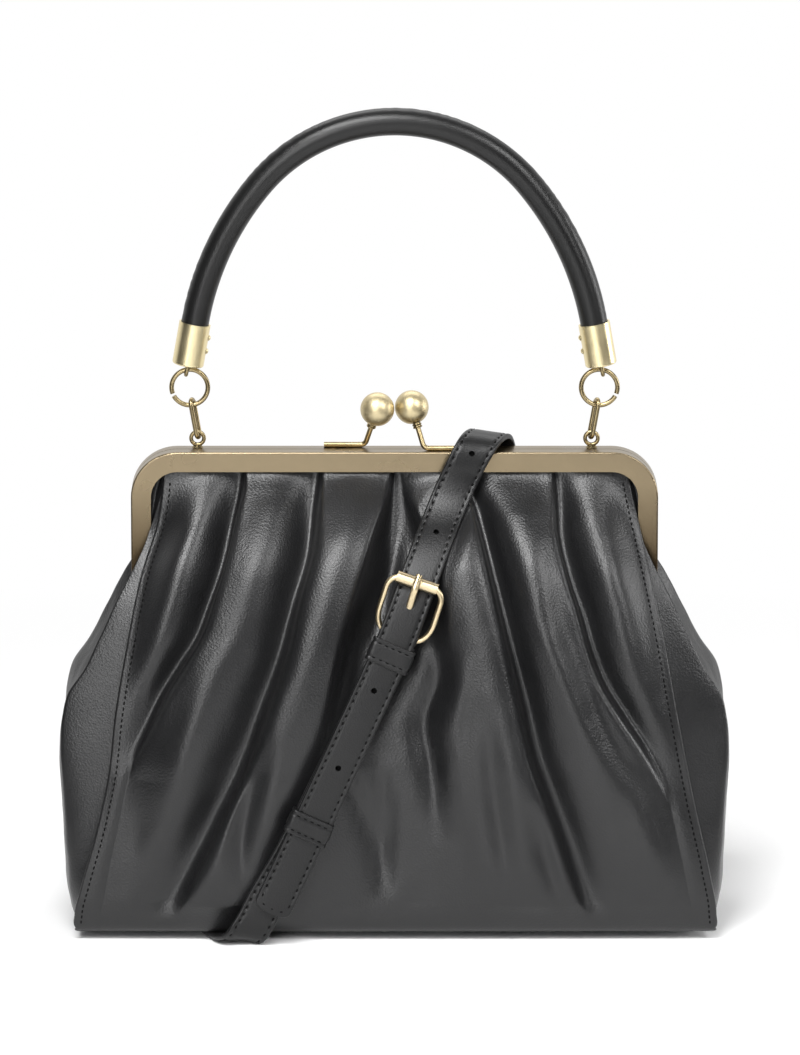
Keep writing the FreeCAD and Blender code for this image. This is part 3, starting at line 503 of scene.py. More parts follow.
# %% Strap holes
HOLE_HEIGHTS = (228.0, 192.8, 123.8, 86.9)
HOLE_R, HOLE_DEPTH = 1.4, 0.7           # free holes stop short of the strap's back; their near-black floor is painted shade for the lower layer
PRONG_HEIGHT = 162.2
PRONG_HOLE_R, PRONG_DEPTH = 1.6, 4.0    # the hole in use goes right through
HOLE_SIDES = 20
CUT_OVER = 4.0                          # the cutter stands this far out of the strap


def at_height(line, z, front):
    """Index of the place where a strap's front or back run passes a height."""
    miss = np.abs(line[:, 2] - z) + 1e3 * ((line[:, 1] < -5) != front)
    return int(np.argmin(miss))


def punched(piece, seats, radius, depth):
    """Cut round holes to a depth below the strap's middle; their walls and floor take the cutter's near-black
    thread finish as painted shade.
    """
    turn = np.linspace(0, 2 * math.pi, HOLE_SIDES, endpoint=False)[:, None]
    plug = grid_faces(2, HOLE_SIDES, wrap_cols=True) + end_faces(2, HOLE_SIDES)
    points, faces = [], []
    for centre, across, along, out in seats:
        ring = centre + np.cos(turn) * across * radius + np.sin(turn) * along * radius
        start = len(points) * HOLE_SIDES
        points += [ring + out * CUT_OVER, ring - out * depth]
        faces += [[start + corner for corner in face] for face in plug]
    # the cutter's thread finish goes onto the hole's walls and floor: painted shade
    cutter = mesh_object(piece.name + "_cutter", np.concatenate(points), faces, thread, False)
    cut = piece.modifiers.new("holes", "BOOLEAN")
    cut.object = cutter
    cut.operation = "DIFFERENCE"
    cut.solver = "EXACT"
    cut.material_mode = "TRANSFER"
    mesh = evaluated_mesh(piece)
    piece.modifiers.clear()
    piece.data = mesh
    bpy.data.objects.remove(cutter)


seats = []
for height in HOLE_HEIGHTS + (PRONG_HEIGHT,):
    i = at_height(tongue_line, height, True)
    seats.append((tongue_line[i], tongue_across[i], tongue_along[i], tongue_out[i]))
punched(tongue_front, seats[:-1], HOLE_R, HOLE_DEPTH)
punched(tongue_front, seats[-1:], PRONG_HOLE_R, PRONG_DEPTH)
print("holes punched:", len(seats), "- faces", len(tongue_front.data.polygons))

# %% [markdown]
# ## Body shape
# The front and back are cut fuller than the frame and gathered into it. Pleats start as tucks in the
# frame and run outwards as they go down. Such leather could be sculpted, or dropped by cloth simulation,
# but then no fold lands where it should. Here the plain body is a full shape between two depths, at its
# middle and at its side seams. Each pleat is a step along a line, with a ridge on one side and a hollow
# on the other, and the leather puffs out between them.

# %% Body tables
# height, depth at the middle, depth at the seams
PROFILE = np.array([
    (3.4, 40.0, 40.0), (3.7, 46.0, 45.2), (5.2, 48.9, 47.8), (8.5, 50.6, 49.3), (14.0, 51.7, 50.3),
    (24.0, 52.7, 50.8), (47.0, 53.4, 49.7), (90.0, 52.2, 45.5), (130.0, 47.4, 39.0), (152.0, 42.8, 33.0),
    (170.0, 36.4, 25.0), (183.0, 29.6, 17.4), (195.0, 21.0, 11.6), (207.0, 12.0, 8.0), (215.0, 6.8, 6.0),
    (221.5, 5.4, 5.4)])
# height and half width of each side's edge
LEFT_EDGE = (
    (3.4, 146.0), (3.8, 148.6), (6, 150.4), (13, 150.7), (26, 147.6), (51, 140.6), (81, 134.2),
    (109, 131.0), (136, 126.4), (173, 118.6), (196, 111.2), (208, 109.4), (222, 108.4))
RIGHT_EDGE = (
    (3.4, 147.0), (3.8, 149.6), (6, 151.4), (13, 151.7), (33, 148.4), (67, 140.8), (105, 133.4),
    (152, 124.6), (180, 118.4), (200, 113.6), (214, 110.8), (222, 109.6))
FULLNESS = 2.3          # 2 would be a round belly across the body, and more is flatter
# main pleats, left to right: points down each one's line (x, height)
PLEATS = (
    ((-70.9, 222), (-72.2, 208.8), (-75, 197.6), (-79, 180.7), (-85.6, 161), (-91.6, 145.2), (-100.1, 131.3),
     (-106.7, 120.6), (-113.9, 106.5), (-122, 90), (-131, 55), (-141, 4)),
    ((-34.4, 222), (-36.2, 205.8), (-38.5, 183.8), (-44.5, 163.2), (-50.6, 139.2), (-60.1, 111.2),
     (-69.6, 85.6), (-81, 60), (-92, 37.1), (-103.1, 12), (-105, 4)),
    ((0.5, 222), (-1.7, 210.1), (-6.9, 194.7), (-16.3, 166.4), (-24.3, 141.9), (-29, 120.6), (-32.8, 98.5),
     (-40, 50), (-46, 4)),
    ((2.3, 222), (4.5, 210.1), (10.6, 197.6), (16.8, 180.7), (21.5, 163.2), (26, 130), (30, 80), (34, 4)),
    ((30, 222), (36.7, 204.6), (43.7, 180.7), (51.1, 151.1), (59.2, 117.3), (65.3, 89), (72, 69.7),
     (78.2, 51.8), (86.4, 25.7), (94, 4)),
    ((75.1, 222), (76.4, 201.7), (76.8, 192.1), (81.4, 173.4), (87.4, 155.6), (92.1, 139.2), (98.3, 123.4),
     (107.7, 107.9), (117.2, 93.7), (126, 78), (135, 45), (143, 4)))
RIDGE_SIDE = (1, 1, -1, 1, -1, -1)       # which side of its line each pleat's ridge is on
# height of each ridge, by height on the body
SIZES = (
    ((78, 0), (94, 2.4), (112, 4.0), (132, 4.8), (158, 5.2), (180, 5.4), (196, 4.6), (208, 3.0), (219, 1.0)),
    ((6, 0), (16, 2.6), (40, 5.0), (80, 5.6), (110, 5.4), (140, 5.2), (170, 5.4), (190, 5.0), (206, 3.2),
     (219, 1.0)),
    ((84, 0), (100, 2.0), (122, 4.2), (145, 5.6), (168, 6.0), (190, 5.6), (206, 4.0), (215, 2.6), (220, 1.2)),
    ((140, 0), (160, 2.2), (180, 3.6), (196, 3.6), (208, 2.6), (219, 1.0)),
    ((8, 0), (20, 3.0), (50, 5.0), (88, 5.2), (118, 5.0), (150, 5.0), (175, 5.0), (192, 4.4), (206, 2.8),
     (219, 0.9)),
    ((60, 0), (80, 2.4), (105, 4.0), (126, 4.8), (150, 4.8), (174, 5.0), (192, 4.4), (206, 2.8), (219, 0.9)))
# how quickly each pleat's edge rises at its line and falls away past it, and the hollow's place and depth
RISE = (1.8, 2.0, 1.1, 1.5, 2.0, 1.8)
FALL = (9.0, 11.0, 16.0, 8.0, 11.0, 9.0)
HOLLOW_AT = (4.5, 5.5, 7.0, 5.0, 3.6, 4.2)
DEPTH = (1.6, 1.5, 1.4, 1.4, 1.2, 1.4)
# pleats are wider lower down
WIDEN = ((4, 1.8), (60, 1.5), (110, 1.25), (150, 1.05), (190, 0.85), (222, 0.6))
# puff of the leather in each panel between pleats, left to right, and how it changes with height
PANEL_PUFF = (1.0, 1.0, 0.9, -0.8, 0.8, 0.95, 1.0)
PUFF = (
    (4, 0.0), (14, 2.0), (30, 4.0), (60, 5.6), (110, 6.6), (150, 7.8), (180, 8.4), (196, 6.4), (208, 3.4),
    (219, 0.4))
# softer folds: points down the line, half width, and height or, below zero, depth
FOLDS = (
    (((2.2, 228), (2.2, 214), (1.5, 202), (-1.5, 182), (-5, 165), (-11, 138)), 4.0, -6.0),
    (((72, 187), (78, 156), (88, 130), (97, 106), (107, 86), (118, 56)), 7.5, -2.6),
    (((61, 187), (67.6, 152), (78, 128), (88, 106), (98, 88), (110, 60)), 8.0, 1.8),
    (((-28, 92), (-18, 72), (-11, 50), (-5.5, 18)), 3.8, -4.4),
    (((-10, 96), (-6, 72), (-4.5, 50), (-4.5, 18)), 3.6, -4.0),
    (((-60.6, 104), (-67.3, 74.5), (-71.6, 55.2), (-73, 40.6), (-71.2, 22)), 6.0, -6.0),
    (((16, 156), (20.5, 126.7), (14.3, 107.9), (17.2, 84.2), (22, 46)), 5.0, -5.6),
    (((28, 152), (31, 126.7), (27, 107.9), (29, 84.2), (33, 46)), 5.5, 3.0),
    (((43, 120), (46, 86), (50, 54), (56, 18)), 5.5, -3.6),
    (((66, 70), (71, 44), (80, 12)), 5.0, -4.2),
    (((-82, 146), (-90, 116), (-98, 86), (-108, 36)), 12.0, 6.0),
    (((-112, 86), (-119, 60), (-127, 20)), 9.0, -2.4),
    (((-44, 70), (-50, 46), (-56, 14)), 5.5, -3.4),
    (((108, 88), (118, 58), (129, 20)), 7.0, 2.6),
    (((-134, 130), (-136, 90), (-141, 50)), 6.0, 2.0))
print("pleats:", len(PLEATS), "main and", len(FOLDS), "soft")


# %% Body functions
def by_height(z, table):
    """The value at a height, from a table of heights and values."""
    heights, values = np.array(table, float).T
    return through(z, heights, values)


def line_at(z, points):
    """Where a pleat's line is at a height."""
    places, heights = np.array(points, float).T
    return through(z, heights[::-1], places[::-1])


def profile_rows(count):
    """Heights, middle depths and seam depths of the body, evenly spaced from the base to the frame."""
    knots = np.arange(len(PROFILE))
    fine = np.linspace(0, len(PROFILE) - 1, 1500)
    z, mid, seam = (through(fine, knots, PROFILE[:, i]) for i in range(3))
    far = along_rows(np.stack([z, mid], axis=1))
    even = np.linspace(0, far[-1], count)
    return tuple(np.interp(even, far, values) for values in (z, mid, seam))


def seam_depth(z):
    """Depth of the body at its side seams."""
    return by_height(z, PROFILE[:, (0, 2)])


def body_depth(x, half, mid, seam):
    """Depth of the plain body: the seam's depth, and what the middle has more than that times one less the
    share of the half width, raised to the fullness."""
    return seam + (mid - seam) * (1 - np.abs(x / half) ** FULLNESS)


def edge_roll(away, rise, fall):
    """A rounded edge, one high: it rises within a short way of a line and falls away slowly past it, as one
    exponential times another."""
    top = rise * np.log(1 + fall / rise)
    peak = (1 - np.exp(-top / rise)) * np.exp(-top / fall)
    away = np.maximum(away, 0)
    return (1 - np.exp(-away / rise)) * np.exp(-away / fall) / peak


def hollow_roll(away, at):
    """A rounded hollow, one deep at a distance from a line, that dies out past it: t times exp(1 - t)."""
    t = np.maximum(away, 0) / at
    return t * np.exp(1 - t)


def pleat_height(x, z, flip, share):
    """How far the pleated leather stands out from the plain body. Each pleat adds its size times a rounded
    edge on one side of its line, less a hollow on the other. Each soft fold adds a bell across its line,
    which swells and dies out along it."""
    x = x * flip
    total = np.zeros_like(x)
    widen = by_height(z, WIDEN)
    rows = zip(PLEATS, RIDGE_SIDE, SIZES, RISE, FALL, HOLLOW_AT, DEPTH)
    for points, side, sizes, rise, fall, at, depth in rows:
        away = side * (x - line_at(z, points))
        size = np.maximum(by_height(z, sizes), 0)
        ridge = edge_roll(away, rise * widen, fall * widen)
        total += size * (ridge - depth * hollow_roll(-away, at * widen))
    for points, width, size in FOLDS:
        heights = np.array(points, float)[:, 1]
        down = np.clip((heights[0] - z) / (heights[0] - heights[-1]), 0, 1)
        total += size * np.sin(math.pi * down) ** 1.3 * np.exp(-((x - line_at(z, points)) / width) ** 2)
    return total * share


def slow_waves(x, z):
    """Faint unevenness of soft leather: two products of sines, one of them finer."""
    return (0.22 * np.sin(0.11 * x + 0.05 * z + 0.6) * np.sin(0.07 * z - 0.03 * x)
            + 0.10 * np.sin(0.31 * x - 0.12 * z + 2.0) * np.sin(0.19 * z + 0.05 * x + 1.0))


print("body functions ready")

# %% [markdown]
# ## Front and back of the body
# Each panel is one cut of leather whose side edges are turned over and sewn. A plain square grid would
# blur the creases. Here the columns of the mesh follow the pleat lines and lie closer together near
# them, so the creases stay crisp with fewer faces. The leather under the strap is pressed in.


# %% Front and back panels
CROWD = 0.45            # how much the columns crowd towards the pleat lines, from 0 to 1
CALM_W = 24.0           # pleats fade out over this width towards the side seams
FOOT_Z, FOOT_H = 5.0, 14.0      # and over this height above the base
PUFF_W = 34.0           # width between pleats that puffs out fully
INWARD = 0.56           # hollows keep within this share of the body's depth
# the turned side edge: out past the seam, and back
CURL = np.array([(0.5, 0.15), (0.95, 0.7), (1.0, 1.5), (0.5, 2.2), (-0.6, 2.4)])


def panel_grid(side, rows, step_counts):
    """The plain body shape, before pleating: points, where each lies between its pleat lines, how far apart
    these are, and which way round the pleats go."""
    flip = 1.0 if side < 0 else -1.0
    z, mid, seam = profile_rows(rows)
    lines = [flip * line_at(z, points) for points in PLEATS][::int(flip)]
    lines = [-by_height(z, LEFT_EDGE)] + lines + [by_height(z, RIGHT_EDGE)]
    columns, shares, widths = [], [], []
    for i, count in enumerate(step_counts):
        t = np.arange(count + (i == len(step_counts) - 1)) / count
        t = (1 - CROWD) * t + CROWD * (1 - np.cos(math.pi * t)) / 2
        between = (lines[i + 1] - lines[i])[:, None]
        columns.append(lines[i][:, None] + between * t)
        shares.append(np.broadcast_to(t, columns[-1].shape))
        widths.append(np.broadcast_to(between, columns[-1].shape))
    x, share, width = (np.concatenate(parts, axis=1) for parts in (columns, shares, widths))
    half = np.where(x < 0, by_height(z, LEFT_EDGE)[:, None], by_height(z, RIGHT_EDGE)[:, None])
    depth = body_depth(x, half, mid[:, None], seam[:, None])
    height = np.broadcast_to(z[:, None], x.shape)
    return np.stack([x, side * depth, height], axis=-1), share, width, flip


def lesser(one, other, blend):
    """The lesser of two depths, with the corner between them rounded: where they are nearer than the blend,
    less a part that grows with the square of how near they are."""
    near = np.clip(1 - np.abs(one - other) / blend, 0, 1)
    return np.minimum(one, other) - near ** 2 * blend / 4


def pressed(points, side, runs):
    """Keep a panel inside what lies over it: each run has its points, its half width, the room under its
    line and how quickly the leather rises beside it."""
    depth = points[..., 1] * side
    for line, half, room, rise in runs:
        line = line[np.argsort(line[:, 2])]
        x, z = points[..., 0], points[..., 2]
        line_x, line_y = np.interp(z, line[:, 2], line[:, 0]), np.interp(z, line[:, 2], line[:, 1])
        gap = np.maximum(np.abs(x - line_x) - half, 0)
        away = np.maximum(np.maximum(line[0, 2] - z, z - line[-1, 2]), 0)
        depth = lesser(depth, line_y * side - room + rise * gap ** 1.3 + 0.5 * away, 4.0)
    points[..., 1] = side * depth
    return points


def panel(name, side, rows, step_counts, share_out, runs):
    """A pleated panel with turned side edges: the plain body, moved along its normals by the pleats, the
    puff between them and the slow waves."""
    points, share, width, flip = panel_grid(side, rows, step_counts)
    swell = np.repeat(PANEL_PUFF[::int(flip)], step_counts)
    swell = np.append(swell, swell[-1])
    x, z = points[..., 0], points[..., 2]
    edge = np.minimum(by_height(z, RIGHT_EDGE) - x, by_height(z, LEFT_EDGE) + x)
    calm = np.clip(edge / CALM_W, 0, 1)
    calm = calm * (2 - calm) * np.clip((z - FOOT_Z) / FOOT_H, 0, 1)
    puff = by_height(z, PUFF) * np.clip(width / PUFF_W, 0, 1.1) * swell * share_out
    rise = pleat_height(x, z, flip, share_out) + puff * np.sin(math.pi * share) + slow_waves(x, z)
    rise = rise * calm
    limit = INWARD * np.abs(points[..., 1])
    rise = np.where(rise < 0, limit * np.tanh(rise / limit), rise)
    points = pressed(points + facing_out(points, side) * rise[..., None], side, runs)
    past, behind = CURL[None, :, :1] * (1, 0, 0), CURL[None, :, 1:] * (0, -side, 0)
    left_edge = points[:, :1] - past + behind
    right_edge = points[:, -1:] + past + behind
    full = np.concatenate([left_edge[:, ::-1], points, right_edge], axis=1)
    if side > 0:
        full = full[:, ::-1]
    return grid_object(name, full, body_leather), points


STEP_COUNTS = (46, 46, 44, 22, 40, 46, 46)      # columns between pleat lines
BACK_PLEATS = 0.55          # the back's pleats are shallower
UNDER_ROOM = STRAP_T / 2 + 0.35
SIDE_ROOM = 10.2            # half width of the slanted strap, measured level
PRESS = 0.4                 # how quickly the leather rises beside the strap
# the back of the buckle's ring
BUCKLE_RUN = np.array([(-4, -46.6, 134), (2.6, -46.3, 148), (6, -46.3, 158), (10.8, -45.0, 173)])
front_tongue = tongue_line[(tongue_line[:, 1] < -8) & (tongue_line[:, 2] < 214)]
front_under = under_line[(under_line[:, 1] < -50) & (under_line[:, 2] > 6)]
back_tongue = tongue_line[(tongue_line[:, 1] > 8) & (tongue_line[:, 0] < 79) & (tongue_line[:, 2] < 214)]
back_under = under_line[(under_line[:, 1] > 50) & (under_line[:, 2] > 6)]
FRONT_RUNS = [(front_tongue, SIDE_ROOM, UNDER_ROOM, PRESS), (front_under, SIDE_ROOM, UNDER_ROOM, PRESS),
              (BUCKLE_RUN, 15.0, 0.6, 0.7)]
BACK_RUNS = [(back_tongue, SIDE_ROOM, UNDER_ROOM, PRESS), (back_under, SIDE_ROOM, UNDER_ROOM, PRESS)]
front, front_points = panel("front_leather", -1, 230, STEP_COUNTS, 1.0, FRONT_RUNS)
back_counts = tuple(n // 2 for n in STEP_COUNTS)[::-1]
back, back_points = panel("back_leather", 1, 150, back_counts, BACK_PLEATS, BACK_RUNS)
print("panel faces:", len(front.data.polygons), len(back.data.polygons))

# %% [markdown]
# ## Gussets
# Each side is a folded gusset: the front and back facets meet in two ridges, and between them the
# leather is pushed in towards the top, where it goes between the two halves of the frame. It could be
# one bent sheet. It is made in two facets that meet at the fold; the back one is carried by the bag's body.

# %% Gussets
# height, ridge half width and depth, half width and depth between ridge and fold, fold half width
GUSSET = np.array([
    (3.5, 144.0, 26.0, 144.0, 13.0, 144.0), (5.0, 149.0, 31.0, 149.5, 15.5, 149.5),
    (10.0, 152.2, 35.0, 153.0, 17.0, 153.2), (18.0, 153.9, 38.5, 155.0, 18.5, 155.2),
    (40.0, 155.0, 41.0, 156.8, 20.0, 157.0), (66.0, 156.0, 40.5, 157.8, 19.5, 157.6),
    (92.0, 157.6, 39.0, 157.0, 18.5, 155.0), (107.0, 157.0, 37.0, 153.0, 17.0, 149.5),
    (117.0, 154.6, 36.0, 147.5, 16.0, 142.5), (129.0, 146.6, 34.5, 139.0, 15.5, 133.0),
    (143.0, 139.6, 31.5, 129.5, 14.5, 124.0), (160.0, 131.4, 26.5, 119.5, 12.5, 114.5),
    (171.0, 125.2, 21.5, 115.0, 11.2, 111.0), (191.0, 116.0, 12.0, 111.0, 8.6, 107.0),
    (207.0, 110.4, 7.0, 107.0, 4.8, 103.5)])


def side_edge(hand):
    """The table of the body's edge on one side."""
    return RIGHT_EDGE if hand > 0 else LEFT_EDGE


SEAM_TUCK = 0.4         # the gusset starts this far inside the panel's seam
SEAM_BACK = 1.6         # and this far behind it
SAG = 1.2               # the leather between seam and ridge sinks in
HALF_DEPTH = 45.0       # of the bag, by which an inset gusset is also made shallower


def gusset(hand, rows, cols, inset):
    """A gusset on one side, from the front seam round to the back seam: at each height a line through the
    seams, ridges and fold, smooth near the base and with sharper corners towards the top."""
    z = np.linspace(GUSSET[0, 0], GUSSET[-1, 0], rows)
    columns = (by_height(z, GUSSET[:, (0, i)]) for i in range(1, 6))
    ridge_x, ridge_y, inner_x, inner_y, fold_x = columns
    seam_x = by_height(z, side_edge(hand)) - SEAM_TUCK
    seam_y = seam_depth(z) - SEAM_BACK
    xs = np.stack([seam_x, ridge_x, inner_x, fold_x, inner_x, ridge_x, seam_x])
    ys = np.stack([-seam_y, -ridge_y, -inner_y, np.zeros(rows), inner_y, ridge_y, seam_y])
    at = np.linspace(0, 6, cols)
    knots = np.arange(7)
    crisp = (0.15 + 0.6 * np.clip((z - 70) / 60, 0, 1))[:, None]
    x, y = (np.stack([through(at, knots, values[:, i]) for i in range(rows)]) for values in (xs, ys))
    sharp_x, sharp_y = (np.stack([np.interp(at, knots, values[:, i]) for i in range(rows)])
                        for values in (xs, ys))
    x = x + (sharp_x - x) * crisp - inset
    y = (y + (sharp_y - y) * crisp) * (1 - inset / HALF_DEPTH)
    sag = np.sin(math.pi * np.clip(at, 0, 1)) + np.sin(math.pi * np.clip(at - 5, 0, 1))
    x = x - SAG * sag * np.clip((z - 40) / 60, 0, 1)[:, None] * np.clip((190 - z) / 30, 0, 1)[:, None]
    x = x + slow_waves(3 * y, z[:, None])
    points = np.stack([hand * x, y, np.broadcast_to(z[:, None], x.shape)], axis=-1)
    return points[:, ::-1] if hand < 0 else points


FRAME_INNER_X = 115.5       # inside of the frame's legs
FRAME_INNER_Z = 218.5       # underside of the frame's top
INNER_R = 12.5              # and the round corner between them
WEB_LOW, WEB_TOP = 186, 217.5
WEB_TUCK, WEB_BACK = 0.8, 0.9       # the web starts inside the panel's seam and behind it
LEG_IN, LEG_DEPTH = 2.2, 4.4        # it ends inside the leg's channel, at this depth
WEB_HOLLOW, WEB_RUFFLE = 2.0, 0.4


def corner_web(name, hand, side):
    """The gusset's edge at the top, from the panel's seam into the frame's leg: straight across, with a
    hollow in the middle and a slight ruffle."""
    z = np.linspace(WEB_LOW, WEB_TOP, 42)
    edge_x = by_height(z, side_edge(hand)) - WEB_TUCK
    rise = np.clip(z - (FRAME_INNER_Z - INNER_R), 0, INNER_R)
    leg_x = FRAME_INNER_X - INNER_R + np.sqrt(INNER_R ** 2 - rise ** 2) + LEG_IN
    t = np.linspace(0, 1, 15)
    x = edge_x[:, None] + (leg_x - edge_x)[:, None] * t
    depth = (seam_depth(z) - WEB_BACK)[:, None] * (1 - t) + LEG_DEPTH * t
    depth = depth - WEB_HOLLOW * np.sin(math.pi * t) ** 2
    depth = depth + WEB_RUFFLE * np.sin(3 * math.pi * t + z[:, None] * 0.12)
    points = np.stack([hand * x, side * depth, np.broadcast_to(z[:, None], x.shape)], axis=-1)
    return grid_object(name, points[:, ::-hand * side], body_leather)


front_webs = [corner_web("left_front_web", -1, -1), corner_web("right_front_web", 1, -1)]
back_webs = [corner_web("left_back_web", -1, 1), corner_web("right_back_web", 1, 1)]


def facets(name, points, hand, material, face=1):
    """A gusset's front and back facets, which meet at its fold, facing out or, with -1, into the bag."""
    middle = points.shape[1] // 2
    halves = [points[:, :middle + 1], points[:, middle:]][::hand]
    pairs = zip(("_front", "_back"), halves)
    return [grid_object(name + tag, half[:, ::face], material) for tag, half in pairs]


gusset_fronts, gusset_backs = [], []
for label, hand in (("left", -1), ("right", 1)):
    fore, aft = facets(label + "_gusset_leather", gusset(hand, 150, 97, 0.0), hand, body_leather)
    gusset_fronts.append(fore)
    gusset_backs.append(aft)
print("gusset faces:", [len(piece.data.polygons) for piece in gusset_fronts + gusset_backs])

# %% [markdown]
# ## Base, lining and pocket
# The base is a flat panel under the rolled edges. The lining is a bag of thin cloth inside the leather
# one, sewn in at the frame, with a slip pocket at the back. An offset of the outer mesh could make it,
# but would copy every pleat. Here it takes a share of the body's plain depth, clear of the hollows.

# %% Base panel
BASE_Z = 3.35
BASE_X, BASE_Y = 147.0, 42.0
BASE_DIP = 0.15         # the base hangs a little in the middle
grid_x, grid_y = np.meshgrid(np.linspace(-BASE_X, BASE_X, 81), np.linspace(-BASE_Y, BASE_Y, 41))
dip = BASE_DIP * np.cos(grid_x / BASE_X * math.pi / 2) * np.cos(grid_y / BASE_Y * math.pi / 2)
base_points = np.stack([grid_x, grid_y, BASE_Z + BASE_DIP - dip], axis=-1)
base = grid_object("base_leather", base_points[:, ::-1], body_leather)
print("base faces:", len(base.data.polygons))


# %% Lining
LINING_IN = 3.0         # the lining's edges from the body's
LINING_LOW, LINING_TOP = 9, 214


def lining_depth(x, z, room):
    """Depth of a lining wall: a share of the plain body's depth at each height, with slow waves."""
    mid, seam = (through(z, PROFILE[:, 0], PROFILE[:, i]) for i in (1, 2))
    half = np.where(x < 0, by_height(z, LEFT_EDGE), by_height(z, RIGHT_EDGE)) - LINING_IN
    wave = 0.5 * np.sin(x * 0.12 + z * 0.03) * np.clip((200 - z) / 60, 0, 1)
    return body_depth(x, half, mid, seam) * by_height(z, room) + wave


def lining_side(name, side, room):
    """The lining of the front or back wall, clear of the panel's hollows."""
    heights = np.linspace(LINING_LOW, LINING_TOP, 86)[:, None]
    left, right = (by_height(heights, table) - LINING_IN for table in (LEFT_EDGE, RIGHT_EDGE))
    u = np.linspace(-1, 1, 81)[None, :]
    x = u * np.where(u < 0, left, right)
    z = np.broadcast_to(heights, x.shape)
    points = np.stack([x, side * lining_depth(x, z, room), z], axis=-1)
    return grid_object(name, points[:, ::side], lining_cloth)


# share of the body's depth, by height
FRONT_ROOM = ((9, 0.9), (40, 0.84), (90, 0.7), (140, 0.5), (180, 0.36), (214, 0.34))
BACK_ROOM = ((9, 0.9), (60, 0.85), (120, 0.78), (170, 0.58), (195, 0.44), (214, 0.44))
lining_front = lining_side("lining_front", -1, FRONT_ROOM)
lining_back = lining_side("lining_back", 1, BACK_ROOM)
for label, hand in (("left", -1), ("right", 1)):
    fore, aft = facets(label + "_lining_gusset", gusset(hand, 90, 61, 2.6)[3:], hand, lining_cloth, -1)
    gusset_fronts.append(fore)
    gusset_backs.append(aft)
lining_x, lining_y = np.meshgrid(np.linspace(-147, 147, 61), np.linspace(-46, 46, 25))
lining_z = 9.2 + 0.4 * np.sin(lining_x * 0.09) * np.sin(lining_y * 0.13)
lining_floor = grid_object("lining_floor", np.stack([lining_x, lining_y, lining_z], axis=-1), lining_cloth)
print("lining made")

# %% Slip pocket
POCKET_W, POCKET_H, POCKET_Z = 130.0, 72.0, 40.0
pocket_u, pocket_v = np.meshgrid(np.linspace(-1, 1, 61), np.linspace(0, 1, 41))
pocket_z = POCKET_Z + POCKET_H * pocket_v
pocket_x = POCKET_W / 2 * pocket_u
pocket_y = lining_depth(pocket_x, pocket_z, BACK_ROOM) - 1.6
bulge = np.sin(math.pi * (pocket_u + 1) / 2) ** 0.7 * pocket_v ** 1.5
pocket_points = np.stack([pocket_x, pocket_y - 1.8 * bulge, pocket_z], axis=-1)
hem = pocket_points[-1:] + np.array([[0, -0.5, 0.4]])
fold = pocket_points[-1:] + np.array([[0, 0.5, 0.3]])
pocket = grid_object("slip_pocket_cloth", np.concatenate([pocket_points, hem, fold]), lining_cloth)
print("pocket made")

# %% [markdown]
# ## Handle
# A rolled leather tube over a fibre core: a round crown, a flatter curve each side and straight ends in
# the ferrules. The seam runs along the inside, where the leather is also slightly wrinkled. A curve with
# a round bevel would give a plain tube. A grid of rings lets the radius change round the seam and along
# the wrinkles.

# %% Handle
HANDLE_R = 6.5
HANDLE_SIDES = 72
CROWN_R = 82.5
CROWN = math.radians(50.0)                  # half angle of the round crown
LEAN = math.radians(10.0)                   # the straight ends from upright
FERRULE_L = 11.0                            # length of the handle inside each ferrule
SEAM_AT = math.radians(152)                 # place of the seam round the tube
COLLAR = np.array([94.42, 4.35, 288.0])     # where the handle enters the right ferrule


def handle_path():
    """Middle line of the handle: an arc over the crown, a flatter arc down each side until it leans as the
    ferrules do, and straight ends."""
    finish = math.pi / 2 - LEAN
    flank_r = (COLLAR[0] - CROWN_R * math.sin(CROWN)) / (math.sin(finish) - math.sin(CROWN))
    top_z = COLLAR[2] + CROWN_R * (1 - math.cos(CROWN)) + flank_r * (math.cos(CROWN) - math.cos(finish))
    angle = np.linspace(-finish, finish, 241)
    bent = np.minimum(np.abs(angle), CROWN)
    x = CROWN_R * np.sin(bent) + flank_r * (np.sin(np.abs(angle)) - np.sin(bent))
    z = top_z - CROWN_R * (1 - np.cos(bent)) - flank_r * (np.cos(bent) - np.cos(angle))
    arch = np.stack([np.sign(angle) * x, np.full(len(angle), COLLAR[1]), z], axis=1)
    ends = np.linspace(FERRULE_L, 1, 8)[:, None] * np.array([math.sin(LEAN), 0, -math.cos(LEAN)])
    return np.concatenate([arch[:1] + ends * (-1, 1, 1), arch, arch[-1:] + ends[::-1]])


def handle_radius(far, turn):
    """Radius of the handle: a low ridge and a groove along the seam, and wrinkles on the inside."""
    near_seam = (turn - SEAM_AT + math.pi) % (2 * math.pi) - math.pi
    seam = 0.25 * np.exp(-(near_seam / 0.09) ** 2) - 0.22 * np.exp(-((near_seam - 0.2) / 0.07) ** 2)
    inside = np.clip(-np.cos(turn), 0, 1) ** 2
    wrinkle = 0.10 * np.sin(far * 1.15 + 2 * np.sin(far * 0.21)) * np.sin(far * 0.043 + 0.4) ** 2
    return HANDLE_R + seam + wrinkle[:, None] * inside + 0.06 * np.sin(far * 0.05 + 1.0)[:, None]


path = handle_path()
turn = np.linspace(0, 2 * math.pi, HANDLE_SIDES, endpoint=False)
radius = handle_radius(along_rows(path), turn)[..., None]
sideways = np.broadcast_to([0.0, 1.0, 0.0], path.shape)
outward = np.cross(sideways, unit(np.gradient(path, axis=0)))
tube = (path[:, None, :] + outward[:, None, :] * (np.cos(turn)[None, :, None] * radius)
        + sideways[:, None, :] * (np.sin(turn)[None, :, None] * radius))
tube_faces = grid_faces(len(path), HANDLE_SIDES, wrap_cols=True) + end_faces(len(path), HANDLE_SIDES)
handle = mesh_object("handle_leather", tube.reshape(-1, 3), tube_faces, handle_leather)
print("handle crown at %.1f mm" % (path[:, 2].max() + HANDLE_R))

